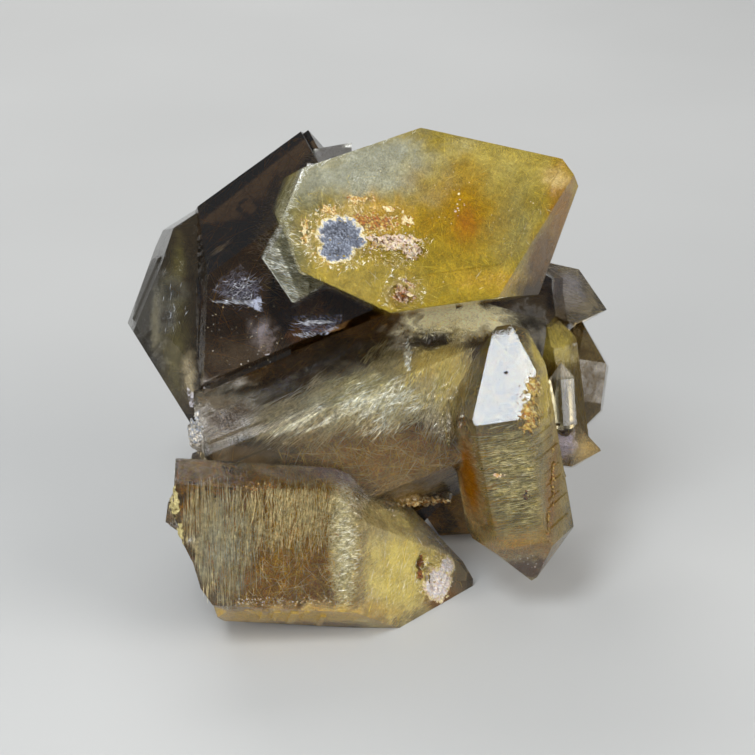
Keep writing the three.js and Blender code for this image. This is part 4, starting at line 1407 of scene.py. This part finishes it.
# Which way the sheets of each crystal face, as (heading, rise)
IN_SMOKY = (88, 85.4)
IN_END = (101, 78)
# (name, outline, depth under the skin, facing, material)
VEILS = [
    ("veil_wedge", [(-38, 19.8), (-36.5, 22.5), (-31.5, 26), (-27.4, 22), (-26, 15.2)], 1.6, IN_SMOKY, FLASH),
    ("veil_scallop", [(-20, 14.6), (-8, 14.6), (-9, 11.6), (-12, 9.6), (-17, 10.4)], 0.9, IN_SMOKY, FLASH),
    ("veil_streak", [(-36, 19.6), (-31, 17.8), (-26, 15.6), (-26, 14.8), (-31, 16.8)], 0.7, IN_SMOKY, FLASH),
    ("veil_lens", [(-27.6, 11), (-25.6, 13), (-23.4, 9), (-25, 5), (-27, 6)], 1.0, IN_SMOKY, MILK),
    ("veil_band", [(-40.4, -2.4), (-31.4, 1.4), (-31, -0.2), (-40, -4)], 0.8, IN_SMOKY, MILK),
    ("veil_left", [(-49, 18.5), (-47, 18.5), (-46.8, 12), (-48.6, 11.5)], 1.0, IN_END, FLASH),
    ("veil_foot", [(-45.6, 3.5), (-43.6, 4.5), (-42.2, -6.5), (-43.6, -7)], 0.9, IN_END, MILK),
]
VEIL_SEED = 300
for number, settings in enumerate(VEILS):
    veil(*settings, VEIL_SEED + number)

# Painted glints: short white streaks in and on the smoky and end crystals, which stand in for the flashes of
# their fractures
PAINTED_GLINTS = [
    needles("smoky", 120, 90, (1.2, 4), (0.06, 0.14), [SILVER], [(40, 22, 0, 8, 2), (-25, 14, 0, 8, 1)],
        (0.08, 0.6), (-31, 20, 3), (5.5, 4, 7)),
    needles("smoky", 70, 95, (0.8, 2.6), (0.04, 0.11), [SILVER], [(40, 22, 0, 4, 2), (-20, 14, 0, 4, 1)],
        (-0.15, 0.05), (-31.5, 20.4, 3), (5, 3, 7), locks=1.2, proud=True),
    needles("smoky", 60, 94, (2, 6), (0.04, 0.09), [SILVER], [(-19, 3, 0, 2, 1)], (-0.15, 0.05),
        (-32, 17.2, 3), (5.6, 0.5, 7), proud=True),
    needles("smoky", 60, 91, (1.2, 3.6), (0.06, 0.14), [SILVER], [(-10, 18, 0, 8, 1)], (0.08, 0.5),
        (-14.5, 12, 4), (5.5, 2.2, 6)),
    needles("smoky", 60, 96, (1.5, 4), (0.05, 0.12), [SILVER], [(-8, 6, 0, 2, 1)], (-0.15, 0.05),
        (-14, 12.6, 4), (4.6, 0.6, 6), proud=True),
    needles("smoky", 50, 97, (1, 2.6), (0.04, 0.08), [SILVER], [(-30, 10, 0, 2, 1)], (-0.15, 0.05),
        (-16.5, 9.8, 4), (3.4, 0.6, 6), proud=True),
    needles("end", 26, 92, (1, 4), (0.05, 0.11), [SILVER, PALE], [(80, 14, 0, 8, 1)], (0.1, 1.2),
        (-47, 14, -4), (2.4, 6, 7)),
    needles("end", 22, 98, (1.5, 4), (0.03, 0.05), [SILVER, PALE], [(86, 20, 0, 4, 1)], (-0.15, 0.05),
        (-47, 16, -4), (3, 8, 7), locks=1.2, proud=True),
    needles("end", 30, 93, (1, 4), (0.05, 0.11), [SILVER, PALE], [(112, 12, 0, 8, 1)], (0.1, 1.2),
        (-43.8, -1, -4), (1.8, 6, 8)),
]
PAINTED_GLINT = veil_material("veil_painted_glint", srgb(236, 240, 250), 0.1, 0.4, 1.0, 1.0)
tinted_piece("veil_painted_glints", *joined(PAINTED_GLINTS), PAINTED_GLINT, "veil")

# ---------------------------------------------------------------- floor, light and air

FLOOR_HALF = 6.0
# The floor lies this far under the part, so that the two don't share a plane
FLOOR_DROP = 0.05 * MM


def floor_piece():
    made = bpy.data.meshes.new("floor")
    rim = [(x * FLOOR_HALF, y * FLOOR_HALF, 0) for x, y in ((-1, -1), (1, -1), (1, 1), (-1, 1))]
    made.from_pydata(rim, [], [(0, 1, 2, 3)])
    n = Nodes("floor")
    tone = n.spread(n.noise(n.where, 0.3, 3.0), 0.3, 0.7)
    base = n.mix(tone, (0.46, 0.46, 0.45, 1), (0.50, 0.50, 0.49, 1))
    made.materials.append(n.surface(base, 0.9, {"Specular IOR Level": 0.15}))
    piece = placed("floor", made)
    piece.location.z = -FLOOR_DROP


# The height of the cluster's middle, which the lights are aimed at
AIM = 0.05


def area_light(name, towards, distance, size, power, colour):
    """A soft square light, aimed at the cluster's middle from a direction of the part's frame."""
    data = bpy.data.lights.new(name, "AREA")
    data.size = size
    data.energy = power
    data.color = colour
    light = placed(name, data)
    way = Vector(towards).normalized()
    light.location = Vector((0, 0, AIM)) + way * distance
    light.rotation_euler = way.to_track_quat("Z", "Y").to_euler()


SKY = (0.93, 0.96, 1.0, 1)
# The sky's strength goes from the first at this far under the horizon to the second at the zenith
SKY_FROM = -0.2
SKY_STRENGTHS = (0.2, 0.38)


def air():
    """A pale sky, brighter overhead."""
    world = bpy.data.worlds.new("studio")
    world.use_nodes = True
    nodes, links = world.node_tree.nodes, world.node_tree.links
    nodes.clear()
    out = nodes.new("ShaderNodeOutputWorld")
    back = nodes.new("ShaderNodeBackground")
    split = nodes.new("ShaderNodeSeparateXYZ")
    coords = nodes.new("ShaderNodeTexCoord")
    height = nodes.new("ShaderNodeMapRange")
    height.inputs["From Min"].default_value = SKY_FROM
    height.inputs["To Min"].default_value, height.inputs["To Max"].default_value = SKY_STRENGTHS
    back.inputs["Color"].default_value = SKY
    links.new(coords.outputs["Generated"], split.inputs[0])
    links.new(split.outputs["Z"], height.inputs["Value"])
    links.new(height.outputs["Result"], back.inputs["Strength"])
    links.new(back.outputs[0], out.inputs["Surface"])
    scene.world = world


floor_piece()
air()
WARM = (1.0, 0.98, 0.95)
area_light("key", (-0.267, -0.4955, 0.828), 0.8, 0.25, 3.0, (0.88, 0.94, 1.0))
area_light("left", (-0.6, -0.9, 0.2), 1.2, 0.9, 14.0, WARM)
area_light("right", (1.0, -0.55, 0.45), 1.2, 0.8, 11.0, WARM)
area_light("rim", (-0.3, 0.9, 0.8), 1.1, 0.6, 6.0, (1.0, 1.0, 1.0))

scene.view_settings.view_transform = "Standard"
scene.view_settings.look = "None"
cycles = scene.cycles
cycles.use_denoising = True
cycles.denoiser = "OPENIMAGEDENOISE"
cycles.denoising_prefilter = "ACCURATE"
cycles.max_bounces = 20
cycles.diffuse_bounces = 4
cycles.glossy_bounces = 8
cycles.transmission_bounces = 20
cycles.volume_bounces = 0
cycles.caustics_reflective = True
cycles.caustics_refractive = True
cycles.blur_glossy = 0.3
cycles.sample_clamp_indirect = 6.0
